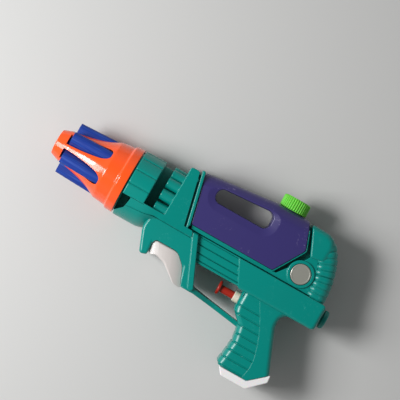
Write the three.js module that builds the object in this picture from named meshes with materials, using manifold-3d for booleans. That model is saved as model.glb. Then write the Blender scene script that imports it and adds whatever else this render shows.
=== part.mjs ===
// A trigger-pump water squirter, lying on its right side.
// x runs back from the muzzle, y up the squirter's own height from the barrel axis, z out of its left side.
// Millimetres throughout.
import * as THREE from 'three';
import { mergeVertices } from 'three/addons/utils/BufferGeometryUtils.js';
import Module from 'manifold-3d';

const wasm = await Module();
wasm.setup();

// Fits, walls and facets
const fit = 0.3;
const wall = 2;
const facetSag = 0.15;
const edgeSteps = 2;
const cornerCore = 0.3;

// Nozzle cone, finned core and jet
const muzzleRadius = 10.6;
const muzzleEdge = 1.2;
const muzzleWall = 2.4;
const noseLength = 10.2;
const noseRadius = 14;
const flareLength = 34.8;
const flareRadius = 24;
const flarePower = 1.9;
const skirtLength = 10;
const skirtRadius = 25.2;
const rimStep = 0.8;
const rimLength = 8.4;
const rimRadius = 27.4;
const coneWall = 1.8;
const finCount = 6;
const finWidth = 9.6;
const finFrontRadius = 21;
const finBackRadius = 22.8;
const finEdge = 4.4;
const finEdgeSteps = 3;
const hubRadius = 9;
const jetRadius = 3.6;
const jetBore = 0.9;

// Barrel: spigot, fluted hood, slot, pipe collar and lower trough
const spigotLength = 7;
const hoodGap = 1.2;
const hoodLength = 18.2;
const barrelRadius = 27.4;
const hoodFlutes = 14;
const hoodFluteDepth = 1;
const slotLength = 5.4;
const coreHalfWidth = 15;
const coreHalfHeight = 20;
const pipeLength = 12.6;
const pipeCount = 9;
const pipeSpread = THREE.MathUtils.degToRad(210);
const pipeNoseRadius = 3.4;
const pipeBackRadius = 5.2;
const mouthLength = 7.6;
const mouthSlant = 6;
const mouthHeight = 16;
const mouthDepth = 17;

// Bracket, tank bay and foregrip frame
const bracketTop = 33.8;
const bracketWidth = 7.4;
const bracketRake = 0.23;
const bracketHalf = 22.5;
const bracketBand = 4.7;
const bracketEdge = 1.4;
const grooveWidth = 1.7;
const grooveDepth = 6;
const ribWidth = 2.8;
const ribRise = 1.9;
const ribHalf = 20;
const foregripLead = 9.2;
const foregripHalf = 18.5;
const foregripEdge = 2.4;
const prongWidth = 11.6;
const prongDrop = 35;
const postWidth = 12.9;
const postThickness = 10.8;
const postDrop = 41.2;
const bandWidth = 5.2;
const bandRise = 0.8;
const notchRoof = 18.7;
const insertBelly = 11.4;
const insertHalf = 17.4;
const insertEdge = 2.2;

// Water tank, neck, cap and seal
const tankFloor = -4.6;
const tankFloorLength = 71.4;
const tankFrontHeight = 39.9;
const tankHeight = 46.8;
const tankTopLength = 27.3;
const tankTailReach = 15.2;
const tankTailHeight = 25;
const tankBackReach = 7;
const tankHalf = 18.5;
const tankEdge = 1.8;
const tankCrown = 11;
const tankTailCorner = 3.6;
const crownRun = 30;
const tankWall = 1.6;
const handleSetback = 5.8;
const handleLength = 47.4;
const handleFloor = 24;
const handleFrontHeight = 11.4;
const handleBackHeight = 14.8;
const handleCorner = 5.4;
const dishMargin = 6;
const dishDepth = 2.4;
const tongueSetback = 20;
const tongueLength = 30;
const tongueHalf = 4;
const tongueDepth = 8.4;
const tongueFlange = 3;
const neckInset = 14.9;
const neckRadius = 8.2;
const neckBore = 6.4;
const neckHeight = 7.2;
const capRadius = 11.3;
const capHeight = 10;
const capRoof = 1.6;
const capRibs = 36;
const capRibDepth = 0.5;
const sealThickness = 1.2;

// Rail, handguard, receiver and rear plug
const railHeight = 3.9;
const railHalf = 18;
const panelGroove = 0.8;
const handguardLength = 37;
const handguardHeight = 19.4;
const handguardHalf = 15.6;
const handguardRidges = 3;
const ridgeDepth = 2;
const handguardLip = 2.6;
const receiverLength = 75.7;
const receiverHeight = 20.7;
const receiverHalf = 19;
const receiverCorner = 3.5;
const receiverEdge = 3;
const plugNeckRadius = 5;
const plugRadius = 7.4;
const plugNeckLength = 2.2;
const plugHeadLength = 3.8;
const plugEdge = 1.6;
const plugFlangeRadius = 6.6;

// Pistol grip, trigger guard and grip base
const gripRake = 0.44;
const gripSetback = 13.6;
const gripDepth = 34.9;
const throatDrop = 13.4;
const chinReach = 9.4;
const chinDrop = 9.6;
const strapSwell = 2.2;
const gripDrop = 60.5;
const footReach = 13.4;
const footRun = 8;
const footLength = 23.4;
const heelReach = 13.6;
const heelRise = 11.8;
const gripHalf = 15.4;
const gripEdge = 4.6;
const gripFillet = 7;
const gripGrooves = 8;
const gripGroovePitch = 6.7;
const gripGrooveHeight = 1.6;
const gripGrooveDepth = 0.9;
const gripGrooveFoot = 1.7;
const gripGrooveEnd = 24;
const gripGrooveRake = 0.25;
const guardThickness = 3.6;
const guardSlope = 0.144;
const guardHalf = 7;
const guardEdge = 1.4;
const baseThickness = 3.8;
const basePegRadius = 2.4;
const basePegLength = 6;

// Rear web, strap, ribbed tail hose and side discs
const strapGap = 4.3;
const strapLength = 18.6;
const strapDrop = 1.6;
const strapFall = 2.4;
const strapHeight = 21.8;
const strapLean = 10.4;
const strapHalf = 16;
const strapEdge = 2.2;
const strapCrown = 6;
const strapRun = 12;
const webHalf = 15.4;
const webSeatHalf = 10;
const webGap = 3.2;
const hoseInset = 11.4;
const hoseSpan = 20.5;
const hoseRise = 44;
const hoseSweep = THREE.MathUtils.degToRad(58);
const hoseRadius = 8.3;
const hoseRibs = 9;
const hoseRibHeight = 0.7;
const hoseBulge = 1.8;
const discGap = 5.4;
const discLevel = 3.1;
const discRadius = 8.1;
const discThickness = 3.2;
const bossRadius = 10.9;
const bossHalf = 17.6;

// Trigger plunger and pump
const pumpDrop = 6.9;
const plungerReach = 17.9;
const flangeRadius = 5.8;
const flangeThickness = 2.4;
const shaftRadius = 3.1;
const bushReach = 3.9;
const bushRadius = 4.3;
const bushFlange = 1.4;
const pumpBore = 5.5;
const pumpWall = 1.7;
const pumpLength = 26;
const pumpEndWall = 2;
const pistonLength = 4.6;
const pistonRadius = 5;
const grooveRadius = 3.4;
const sealSection = 0.75;
const springRadius = 4.2;
const wireRadius = 0.45;
const springTurns = 7;
const valveSpread = 4.2;
const valveBore = 2.1;
const valvePort = 0.8;
const valveHeight = 5;
const valveBlockLength = 7;
const valveBlockHalf = 7.6;
const ballRadius = 1.6;
const nippleRadius = 1.5;
const nippleLength = 3.6;
const tubeWall = 0.8;
const tubeBend = 4.2;
const cradleThickness = 2;

// Casing screws
const screwHeadRadius = 2.8;
const screwHeadHeight = 1.8;
const screwShankRadius = 1.3;
const screwGrip = 8;
const screwSink = 3.2;
const screwBossRadius = 3.6;

// Levels and stations that follow from the sizes above
const coneLength = noseLength + flareLength + skirtLength + rimLength;
const spigotRadius = rimRadius - rimStep - coneWall - fit;
const hoodFront = coneLength + hoodGap;
const hoodBack = hoodFront + hoodLength;
const pipeFront = hoodBack + slotLength;
const bracketFront = pipeFront + pipeLength;
const deckLevel = tankFloor - railHeight;
const bodyTop = deckLevel - panelGroove;
const bracketBackAt = (level) => bracketFront + bracketWidth + bracketRake * (bracketTop - level);
const ribFrontAt = (level) => bracketBackAt(level) + grooveWidth;
const ribBackAt = (level) => ribFrontAt(level) + ribWidth;
const tankFrontAt = (level) => ribBackAt(level) + fit;
const tankFront = tankFrontAt(tankFloor);
const tankTop = tankFloor + tankHeight;
const tankTail = tankFront + tankFloorLength + tankTailReach;
const tankBack = tankFront + tankFloorLength + tankBackReach;
const neckX = tankBack - neckInset;
const foregripFront = bracketFront - foregripLead;
const postBackAt = (level) => bracketBackAt(bodyTop) + postWidth + gripRake * (bodyTop - level);
const postFrontAt = (level) => postBackAt(level) - postThickness;
const bandFrontAt = (level) => postBackAt(level) - bandWidth;
const receiverFront = postBackAt(bodyTop) + handguardLength;
const receiverBack = receiverFront + receiverLength;
const receiverBottom = bodyTop - receiverHeight;
const handguardBottom = bodyTop - handguardHeight;
const gripFront = receiverFront + gripSetback;
const gripBack = gripFront + gripDepth;
const throatBottom = receiverBottom - throatDrop;
const chinX = gripFront + chinReach;
const chinBottom = throatBottom - chinDrop;
const footLevel = receiverBottom - gripDrop;
const footFront = gripFront + footReach;
const footBack = footFront + footLength;
const heelX = footBack + heelReach;
const heelLevel = footLevel + heelRise;
const pumpLevel = receiverBottom - pumpDrop;
const plugLevel = bodyTop - receiverHeight / 2 + 0.6;
const discX = tankTail + discGap;

// Shape helpers

// A closed solid from a geometry whose shared corners are merged.
function solid(geometry) {
  geometry.deleteAttribute('normal');
  geometry.deleteAttribute('uv');
  const merged = mergeVertices(geometry, 1e-4);
  const index = merged.index.array;
  const triangles = [];
  for (let first = 0; first < index.length; first += 3) {
    const [a, b, c] = index.slice(first, first + 3);
    if (a !== b && b !== c && c !== a) triangles.push(a, b, c);
  }
  return new wasm.Manifold(new wasm.Mesh({
    numProp: 3,
    vertProperties: merged.attributes.position.array,
    triVerts: Uint32Array.from(triangles),
  }));
}

function geometryOf(body) {
  const mesh = body.getMesh();
  const geometry = new THREE.BufferGeometry();
  geometry.setAttribute('position', new THREE.BufferAttribute(mesh.vertProperties, 3));
  geometry.setIndex(new THREE.BufferAttribute(mesh.triVerts, 1));
  geometry.computeVertexNormals();
  return geometry;
}

const join = (bodies) => bodies.reduce((whole, body) => whole.add(body));
const cut = (body, tools) => tools.reduce((rest, tool) => rest.subtract(tool), body);

// How many flat facets a full circle of this radius needs.
function facetsOf(radius) {
  const angle = 2 * Math.acos(1 - facetSag / Math.max(radius, 1));
  return 4 * Math.max(3, Math.ceil(Math.PI / 2 / angle));
}

// The points of an outline given as corners [x, y, radius].
function outline(corners) {
  const points = [];
  corners.forEach(([x, y, radius = 0], index) => {
    const here = new THREE.Vector2(x, y);
    if (radius === 0) {
      points.push(here);
      return;
    }
    const [beforeX, beforeY] = corners.at(index - 1);
    const [afterX, afterY] = corners[(index + 1) % corners.length];
    const toBefore = new THREE.Vector2(beforeX, beforeY).sub(here).normalize();
    const toAfter = new THREE.Vector2(afterX, afterY).sub(here).normalize();
    const half = Math.acos(THREE.MathUtils.clamp(toBefore.dot(toAfter), -1, 1)) / 2;
    const bisector = toBefore.clone().add(toAfter).normalize();
    const centre = here.clone().addScaledVector(bisector, radius / Math.sin(half));
    const start = here.clone().addScaledVector(toBefore, radius / Math.tan(half)).sub(centre);
    const sweep = (Math.PI - 2 * half) * Math.sign(start.cross(bisector.clone().negate()));
    const steps = Math.max(2, Math.ceil(Math.abs(sweep) * facetsOf(radius) / (2 * Math.PI)));
    for (let step = 0; step <= steps; step += 1) {
      points.push(start.clone().rotateAround(new THREE.Vector2(), sweep * step / steps).add(centre));
    }
  });
  return points;
}

// The corners moved inwards by a depth, or outwards where it is negative.
function inset(corners, depth) {
  const points = corners.map(([x, y]) => new THREE.Vector2(x, y));
  const turn = Math.sign(THREE.ShapeUtils.area(points));
  return corners.map(([, , radius = 0], index) => {
    const here = points[index];
    const along = here.clone().sub(points.at(index - 1)).normalize();
    const onward = points[(index + 1) % points.length].clone().sub(here).normalize();
    const first = new THREE.Vector2(-along.y, along.x).multiplyScalar(turn);
    const second = new THREE.Vector2(-onward.y, onward.x).multiplyScalar(turn);
    const moved = here.clone().addScaledVector(first.clone().add(second), depth / (1 + first.dot(second)));
    const convex = along.cross(onward) * turn > 0;
    return [moved.x, moved.y, radius === 0 ? 0 : Math.max(radius + (convex ? -depth : depth), 0.2)];
  });
}

// A plate of the outline between two z levels, its edges rounded.
function plate(points, low, high, edge = 0, hole = null) {
  const shape = new THREE.Shape(points);
  if (hole) shape.holes.push(new THREE.Path(hole));
  const geometry = new THREE.ExtrudeGeometry(shape, {
    depth: high - low - 2 * edge,
    bevelEnabled: edge > 0,
    bevelThickness: edge,
    bevelSize: edge,
    bevelOffset: -edge,
    bevelSegments: edgeSteps,
  });
  geometry.translate(0, 0, low + edge);
  return solid(geometry);
}

// Rounded corners are kept a little larger than the rounded edge that runs round them.
function eased(corners, edge) {
  return corners.map(([x, y, radius = 0]) => [x, y, radius === 0 ? 0 : Math.max(radius, edge + cornerCore)]);
}

const slab = (corners, half, edge = 0) => plate(outline(eased(corners, edge)), -half, half, edge);

// A bar along x whose section has z across and y up.
function bar(section, front, back) {
  const geometry = new THREE.ExtrudeGeometry(new THREE.Shape(section), {
    depth: back - front,
    bevelEnabled: false,
  });
  geometry.rotateY(Math.PI / 2);
  geometry.translate(front, 0, 0);
  return solid(geometry);
}

function block(lowX, highX, lowY, highY, lowZ, highZ) {
  const geometry = new THREE.BoxGeometry(highX - lowX, highY - lowY, highZ - lowZ);
  geometry.translate((lowX + highX) / 2, (lowY + highY) / 2, (lowZ + highZ) / 2);
  return solid(geometry);
}

function ellipsePoints(halfWidth, halfHeight) {
  const count = facetsOf(Math.max(halfWidth, halfHeight));
  return Array.from({ length: count }, (_, step) => {
    const angle = 2 * Math.PI * step / count;
    return new THREE.Vector2(halfWidth * Math.cos(angle), halfHeight * Math.sin(angle));
  });
}

// A turned body from [along, radius] pairs, about y; a profile off the axis closes on itself.
function turned(profile, segments) {
  const points = profile.map(([along, radius]) => new THREE.Vector2(radius, along));
  const largest = Math.max(...profile.map(([, radius]) => radius));
  return new THREE.LatheGeometry(points, segments ?? facetsOf(largest));
}

const aboutX = (profile, segments) => turned(profile, segments).rotateZ(-Math.PI / 2);
const aboutZ = (profile, segments) => turned(profile, segments).rotateX(Math.PI / 2);

// A round rod about z.
function rodZ(x, y, radius, low, high) {
  return solid(aboutZ([[low, 0], [low, radius], [high, radius], [high, 0]]).translate(x, y, 0));
}

// A round rod about x.
function rodX(y, radius, front, back) {
  return solid(aboutX([[front, 0], [front, radius], [back, radius], [back, 0]]).translate(0, y, 0));
}

// A round rod about y.
function rodY(x, z, radius, low, high) {
  return solid(turned([[low, 0], [low, radius], [high, radius], [high, 0]]).translate(x, 0, z));
}

// A closed skin over rings of points that run on from one another, capped at its ends or joined in a loop.
function skin(rings, looped = false) {
  const count = rings[0].length;
  const last = (rings.length - 1) * count;
  const total = rings.length * count;
  const index = [];
  for (let start = 0; start < (looped ? total : last); start += count) {
    const onward = (start + count) % total;
    for (let side = 0; side < count; side += 1) {
      const next = (side + 1) % count;
      index.push(start + side, start + next, onward + next);
      index.push(start + side, onward + next, onward + side);
    }
  }
  for (let side = 1; side < (looped ? 0 : count - 1); side += 1) {
    index.push(0, side + 1, side);
    index.push(last, last + side, last + side + 1);
  }
  const geometry = new THREE.BufferGeometry();
  const values = rings.flat().flatMap((point) => point.toArray());
  geometry.setAttribute('position', new THREE.BufferAttribute(Float32Array.from(values), 3));
  geometry.setIndex(index);
  geometry.computeVertexNormals();
  return geometry;
}

// A tube along straight runs between [x, y, z] corners, with a bend at each corner.
function tubeAlong(corners, bore) {
  const stops = corners.map((corner) => new THREE.Vector3(...corner));
  const points = stops.flatMap((stop, index) => {
    if (index === 0 || index === stops.length - 1) return [stop];
    const start = stops[index - 1].clone().sub(stop).setLength(tubeBend).add(stop);
    const end = stops[index + 1].clone().sub(stop).setLength(tubeBend).add(stop);
    return new THREE.QuadraticBezierCurve3(start, stop, end).getPoints(4);
  });
  const sides = 8;
  const across = new THREE.Vector3(0, 0, 1);
  const frames = points.map((point, index) => {
    const before = points[Math.max(index - 1, 0)];
    const after = points[Math.min(index + 1, points.length - 1)];
    const along = after.clone().sub(before).normalize();
    across.addScaledVector(along, -across.dot(along)).normalize();
    return { point, across: across.clone(), up: along.clone().cross(across) };
  });
  const ring = (frame, radius) => Array.from({ length: sides }, (_, side) => {
    const turn = 2 * Math.PI * side / sides;
    return frame.point.clone()
      .addScaledVector(frame.across, radius * Math.cos(turn))
      .addScaledVector(frame.up, radius * Math.sin(turn));
  });
  const outer = frames.map((frame) => ring(frame, bore + tubeWall));
  const inner = frames.map((frame) => ring(frame, bore)).reverse();
  return skin([...outer, ...inner], true);
}

// Nozzle

const flareAt = (share) => noseRadius + (flareRadius - noseRadius) * share ** flarePower;

function coneGeometry() {
  const flareEnd = noseLength + flareLength;
  const skirtEnd = flareEnd + skirtLength;
  const flare = [0.25, 0.5, 0.75, 1].map((share) => [noseLength + flareLength * share, flareAt(share)]);
  const outer = [
    [0, muzzleRadius - muzzleEdge],
    [muzzleEdge * 0.3, muzzleRadius - muzzleEdge * 0.3],
    [muzzleEdge, muzzleRadius],
    [noseLength, noseRadius],
    ...flare,
    [skirtEnd, skirtRadius],
    [skirtEnd + rimStep, rimRadius - rimStep / 2],
    [coneLength, rimRadius],
  ];
  const inner = outer.slice(3).map(([along, radius]) => [along, radius - coneWall]).reverse();
  const mouth = jetRadius + fit;
  const profile = [[0, mouth], ...outer, ...inner];
  profile.push([muzzleWall, muzzleRadius - coneWall], [muzzleWall, mouth], [0, mouth]);
  const shell = solid(aboutX(profile, 28));
  return geometryOf(cut(shell, fins(fit)));
}

// The fins, grown by a clearance where they cut their own slots.
function fins(clearance) {
  const front = noseLength - clearance;
  const back = noseLength + flareLength + clearance;
  const overhang = finEdge * 2;
  const side = [
    [front - overhang, hubRadius - 1],
    [back, hubRadius - 1],
    [back, finBackRadius + clearance],
    [front - overhang, finFrontRadius + clearance],
  ];
  const half = finWidth / 2 + clearance;
  return Array.from({ length: finCount }, (_, step) => {
    const shape = new THREE.ExtrudeGeometry(new THREE.Shape(outline(side)), {
      depth: 2 * (half - finEdge),
      bevelThickness: finEdge,
      bevelSize: finEdge,
      bevelOffset: -finEdge,
      bevelSegments: finEdgeSteps,
    });
    shape.translate(0, 0, finEdge - half);
    const keep = new THREE.BoxGeometry(back - front, 2 * rimRadius, 2 * rimRadius);
    keep.translate((front + back) / 2, rimRadius, 0);
    const turn = 2 * Math.PI * step / finCount;
    return solid(shape.rotateX(turn)).intersect(solid(keep.rotateX(turn)));
  });
}

function finCoreGeometry() {
  const front = muzzleWall + fit;
  const back = noseLength + flareLength;
  const noseHub = Math.min(hubRadius, muzzleRadius - coneWall - fit);
  const bore = jetRadius + fit;
  const hub = aboutX([[front, bore], [front, noseHub], [back, hubRadius], [back, bore], [front, bore]]);
  return geometryOf(join([solid(hub), ...fins(0)]));
}

function jetGeometry() {
  const back = noseLength + flareLength + 2 * fit;
  const profile = [
    [fit, jetBore],
    [fit, jetRadius],
    [back, jetRadius],
    [back, nippleRadius],
    [back + nippleLength, nippleRadius],
    [back + nippleLength, jetBore],
    [fit, jetBore],
  ];
  return aboutX(profile);
}

// Casing outlines, as corners [x, y, radius]

const bracketCorners = [
  [bracketFront, bracketTop, bracketEdge * 1.5],
  [bracketBackAt(bracketTop), bracketTop, bracketEdge * 1.5],
  [bracketBackAt(deckLevel), deckLevel],
  [bandFrontAt(deckLevel) - fit, deckLevel],
  [bandFrontAt(deckLevel - bracketBand) - fit, deckLevel - bracketBand],
  [foregripFront, deckLevel - bracketBand],
  [foregripFront, deckLevel],
  [bracketFront - 0.6, deckLevel],
];

const bayWallCorners = [
  [bracketFront + wall, bracketTop - wall],
  [ribBackAt(bracketTop - wall), bracketTop - wall],
  [ribBackAt(bodyTop), bodyTop],
  [bracketFront + wall, bodyTop],
];

const ribCorners = [
  [ribFrontAt(bracketTop + ribRise), bracketTop + ribRise],
  [ribBackAt(bracketTop + ribRise), bracketTop + ribRise],
  [ribBackAt(deckLevel), deckLevel],
  [ribFrontAt(deckLevel), deckLevel],
];

const notchTop = bodyTop - notchRoof;
const postBottom = bodyTop - postDrop;
const prongFoot = deckLevel - prongDrop;
const notchFront = foregripFront + prongWidth;

// The notch that the insert fills; its lower side is open.
const notchCorners = [
  [notchFront, prongFoot - 12],
  [notchFront, notchTop, 3.4],
  [postFrontAt(notchTop) - 5, notchTop, 9],
  [postFrontAt(notchTop - 8), notchTop - 8, 9],
  [postFrontAt(postBottom - 8), postBottom - 8],
];

const foregripCorners = [
  [foregripFront, deckLevel],
  [postBackAt(deckLevel), deckLevel],
  [postBackAt(postBottom), postBottom, foregripEdge],
  [postFrontAt(postBottom) - 2, postBottom, foregripEdge],
  [postFrontAt(postBottom + 14), postBottom + 14],
  [notchFront, notchTop - 4],
  [notchFront + 1, prongFoot + 2.2, foregripEdge],
  [foregripFront + prongWidth * 0.53, prongFoot, foregripEdge],
  [foregripFront - 1.4, deckLevel - prongDrop * 0.46, 12],
];

const insertBottom = postBottom + 0.3;
const insertCorners = [
  [notchFront, notchTop - 13.6, 2],
  [notchFront, notchTop, 3.4],
  [postFrontAt(notchTop) - 5, notchTop, 9],
  [postFrontAt(notchTop - 8), notchTop - 8, 9],
  [postFrontAt(insertBottom), insertBottom, 1.2],
  [postFrontAt(insertBottom) - 9, insertBottom + 1, 5],
  [notchFront + insertBelly + 3, notchTop - 13, 12],
  [notchFront + insertBelly * 0.55, notchTop - insertBelly + 0.6, 5],
];

// A raised band down the back of the foregrip's post, which the trigger guard runs on from.
const bandCorners = [
  [bandFrontAt(bodyTop), bodyTop],
  [postBackAt(bodyTop), bodyTop],
  [postBackAt(postBottom + 1), postBottom + 1, 2],
  [bandFrontAt(postBottom + 1), postBottom + 1, 2],
];

const receiverCorners = [
  [receiverFront, bodyTop, receiverEdge],
  [receiverBack, bodyTop, receiverCorner],
  [receiverBack, receiverBottom, receiverCorner],
  [receiverFront + gripRake * receiverHeight, receiverBottom, receiverEdge],
];

const railCorners = [
  [ribFrontAt(deckLevel), tankFloor - fit],
  [tankFront + tankFloorLength + webGap, tankFloor - fit, 1],
  [tankFront + tankFloorLength + webGap, bodyTop - wall],
  [ribFrontAt(deckLevel), bodyTop - wall],
];

const gripTop = receiverBottom + gripEdge * 3;
const gripCorners = [
  [gripFront, gripTop],
  [gripFront, throatBottom, gripEdge],
  [chinX, chinBottom, gripEdge],
  [chinX + strapSwell, (chinBottom + footLevel) / 2 + 6, 14],
  [chinX + strapSwell * 0.7, footLevel + 13, 14],
  [footFront + footRun * 0.19, footLevel - footRun],
  [heelX + (heelRise + footRun) * gripRake, footLevel - footRun],
  [gripBack + gripRake, throatBottom + 1.4, gripEdge * 2],
  [gripBack, receiverBottom, gripFillet],
  [gripBack + gripFillet * 1.6, receiverBottom],
  [gripBack + gripFillet * 1.6, gripTop],
];

// What is cut away under the grip, so that its foot is flat and its heel slants up.
const underfootCorners = [
  [gripFront - footRun, footLevel],
  [footBack, footLevel],
  [heelX + heelReach, heelLevel + heelRise],
  [heelX + heelReach, footLevel - 3 * footRun],
  [gripFront - footRun, footLevel - 3 * footRun],
];

const guardTopAt = (x) => postBottom + guardThickness - guardSlope * (x - postBackAt(postBottom));
const guardCorners = [
  [postFrontAt(postBottom) + 1, postBottom + 6],
  [postBackAt(postBottom + 9) - guardEdge, postBottom + 9],
  [postBackAt(postBottom + guardThickness), guardTopAt(postBackAt(postBottom + guardThickness)), 5],
  [chinX + gripEdge * 2, guardTopAt(chinX + gripEdge * 2)],
  [chinX + gripEdge * 2, guardTopAt(chinX + gripEdge * 2) - guardThickness],
  [postBackAt(postBottom), postBottom],
  [postFrontAt(postBottom) + 1, postBottom],
];

const tankCorners = [
  [tankFront, tankFloor, tankEdge],
  [tankFront + tankFloorLength, tankFloor, tankEdge],
  [tankTail, tankFloor + tankTailHeight, tankTailCorner],
  [tankBack, tankTop, tankEdge],
  [tankBack - tankTopLength, tankTop, 14],
  [tankFrontAt(tankFloor + tankFrontHeight), tankFloor + tankFrontHeight, tankEdge],
];

// The tank's top line run on past its ends, for the large rounding along its top.
const tankTopSlope = (tankHeight - tankFrontHeight) / (tankBack - tankTopLength - tankFrontAt(tankFloor + tankFrontHeight));
const crownCorners = [
  [tankFront - crownRun, tankFloor - crownRun],
  [tankTail + crownRun, tankFloor - crownRun],
  [tankTail + crownRun, tankTop],
  [tankBack - tankTopLength, tankTop, 14],
  [tankFront - crownRun, tankTop - tankTopSlope * (tankBack - tankTopLength - tankFront + crownRun)],
];

const handleFront = tankFront + handleSetback;
const handleBack = handleFront + handleLength;
const handleSill = tankFloor + handleFloor;
const handleCorners = [
  [handleFront, handleSill, handleCorner],
  [handleBack, handleSill, handleCorner],
  [handleBack, handleSill + handleBackHeight, handleCorner],
  [handleFront, handleSill + handleFrontHeight, handleCorner],
];

const strapFront = tankBack + strapGap;
const strapTop = tankTop - strapDrop;
const strapCorners = [
  [strapFront, strapTop, strapEdge],
  [strapFront + strapLength, strapTop - strapFall, 4],
  [strapFront + strapLength + strapEdge * 1.6, strapTop - strapFall - 6, strapEdge * 2],
  [strapFront + strapLength + strapEdge * 1.3, strapTop - strapHeight + 3, strapEdge * 2],
  [strapFront + strapLean, strapTop - strapHeight, strapEdge],
];

// The strap's top and back, run on past its other sides, for their large rounding.
const strapCrownCorners = [
  [strapFront - strapRun, strapTop + strapRun * strapFall / strapLength],
  [strapFront + strapLength, strapTop - strapFall, strapCrown + 1],
  [strapFront + strapLength + strapEdge * 1.6, strapTop - strapFall - 6, strapCrown + 1],
  [strapFront + strapLength + strapEdge * 1.3, strapTop - strapHeight - strapRun],
  [strapFront - strapRun, strapTop - strapHeight - strapRun],
];

const hoseX = receiverBack - hoseInset;
const hoseCentreX = hoseX - hoseSpan;
const webCorners = [
  [tankFront + tankFloorLength + webGap * 0.9, bodyTop - wall],
  [tankFront + tankFloorLength + webGap * 0.9, tankFloor - fit],
  [tankTail + webGap, tankFloor + tankTailHeight - 4],
  [strapFront + strapLean, strapTop - strapHeight + 3],
  [strapFront + strapLength, strapTop - strapHeight + 6],
  [hoseX - 1, bodyTop + 18],
  [hoseX, bodyTop - wall],
];

// The web's lower, narrower part, which fills the gap to the tank's seat.
const webSeatCorners = webCorners.map(([x, y], index) => [index < 4 ? x - webGap * 2 : x, y]);

// Casing parts

function hoodSection() {
  const count = hoodFlutes * 3;
  return Array.from({ length: count }, (_, step) => {
    const angle = 2 * Math.PI * step / count;
    const radius = barrelRadius - (step % 3 === 0 ? hoodFluteDepth : 0);
    return new THREE.Vector2(radius * Math.cos(angle), radius * Math.sin(angle));
  });
}

function troughSection(radius, top) {
  const start = Math.asin(top / radius);
  const sweep = -Math.PI - 2 * start;
  const count = Math.ceil(facetsOf(radius) * Math.abs(sweep) / (2 * Math.PI));
  return Array.from({ length: count + 1 }, (_, step) => {
    const angle = start + sweep * step / count;
    return new THREE.Vector2(radius * Math.cos(angle), radius * Math.sin(angle));
  });
}

// Round-nosed pipes that lie round the neck of the barrel and run into the bracket.
function collarPipes() {
  const ring = coreHalfHeight + pipeNoseRadius;
  const side = coreHalfWidth + pipeNoseRadius / 2;
  const back = bracketFront + wall;
  const profile = [
    [pipeFront, 0],
    [pipeFront + pipeNoseRadius * 0.3, pipeNoseRadius * 0.7],
    [pipeFront + pipeNoseRadius, pipeNoseRadius],
    [back, pipeBackRadius],
    [back, 0],
  ];
  return Array.from({ length: pipeCount }, (_, step) => {
    const angle = (Math.PI - pipeSpread) / 2 + pipeSpread * step / (pipeCount - 1);
    return solid(aboutX(profile, 10).translate(0, ring * Math.sin(angle), side * Math.cos(angle)));
  });
}

// Half of the handguard's section, mirrored: lengthwise ridges over a narrower lip.
function handguardSection() {
  const pitch = (handguardHeight - handguardLip) / handguardRidges;
  const right = [new THREE.Vector2(handguardHalf - ridgeDepth, handguardBottom)];
  for (let ridge = handguardRidges - 1; ridge >= 0; ridge -= 1) {
    const foot = bodyTop - pitch * (ridge + 1);
    [0.04, 0.3, 0.7, 0.96].forEach((share) => {
      const swell = ridgeDepth * Math.sin(Math.PI * share);
      right.push(new THREE.Vector2(handguardHalf - ridgeDepth + swell, foot + pitch * share));
    });
  }
  right.push(new THREE.Vector2(handguardHalf - ridgeDepth, deckLevel));
  const left = right.map((point) => new THREE.Vector2(-point.x, point.y)).reverse();
  return [...right, ...left];
}

// The ribbed tail hose, moulded along a quarter of an ellipse, or the plain hollow inside it.
function tailHose(radius, ribHeight) {
  const ringsPerRib = ribHeight > 0 ? 2 : 1;
  const sides = 8;
  const start = -0.08;
  const count = hoseRibs * ringsPerRib;
  const rings = Array.from({ length: count + 1 }, (_, step) => {
    const angle = start + (hoseSweep - start) * step / count;
    const centre = new THREE.Vector2(hoseCentreX + hoseSpan * Math.cos(angle), bodyTop + hoseRise * Math.sin(angle));
    const normal = new THREE.Vector2(Math.cos(angle) / hoseSpan, Math.sin(angle) / hoseRise).normalize();
    const reach = radius + (step % ringsPerRib === 1 ? ribHeight : 0);
    return Array.from({ length: sides }, (_unused, side) => {
      const turn = 2 * Math.PI * side / sides;
      const out = reach * Math.cos(turn);
      const across = reach * hoseBulge * Math.sin(turn);
      return new THREE.Vector3(centre.x + normal.x * out, centre.y + normal.y * out, -across);
    });
  });
  return solid(skin(rings));
}

// Every outer form of the two casing halves, in one.
function casingForm() {
  return join([
    rodX(0, spigotRadius, coneLength - spigotLength, hoodFront + wall),
    bar(hoodSection(), hoodFront, hoodBack),
    bar(troughSection(barrelRadius, deckLevel), hoodFront, bracketFront + wall),
    bar(ellipsePoints(coreHalfWidth, coreHalfHeight), hoodBack - wall, bracketFront + wall),
    ...collarPipes(),
    slab(bracketCorners, bracketHalf, bracketEdge),
    slab(bayWallCorners, bracketHalf - grooveDepth),
    slab(ribCorners, ribHalf, ribWidth / 4),
    slab(foregripCorners, foregripHalf, foregripEdge).subtract(slab(notchCorners, bracketHalf)),
    bar(handguardSection(), bracketFront + wall, gripFront).subtract(slab(notchCorners, bracketHalf)),
    slab(railCorners, railHalf, panelGroove),
    slab(receiverCorners, receiverHalf, receiverEdge),
    slab(gripCorners, gripHalf, gripEdge).subtract(slab(underfootCorners, bracketHalf)),
    slab(bandCorners, foregripHalf + bandRise, bandRise),
    slab(guardCorners, guardHalf, guardEdge),
    slab(webCorners, webHalf),
    slab(webSeatCorners, webSeatHalf),
    slab(strapCorners, strapHalf, strapEdge).intersect(slab(strapCrownCorners, strapHalf, strapCrown)),
    tailHose(hoseRadius, hoseRibHeight),
    rodZ(discX, discLevel, bossRadius, -bossHalf, bossHalf),
  ]);
}

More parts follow.
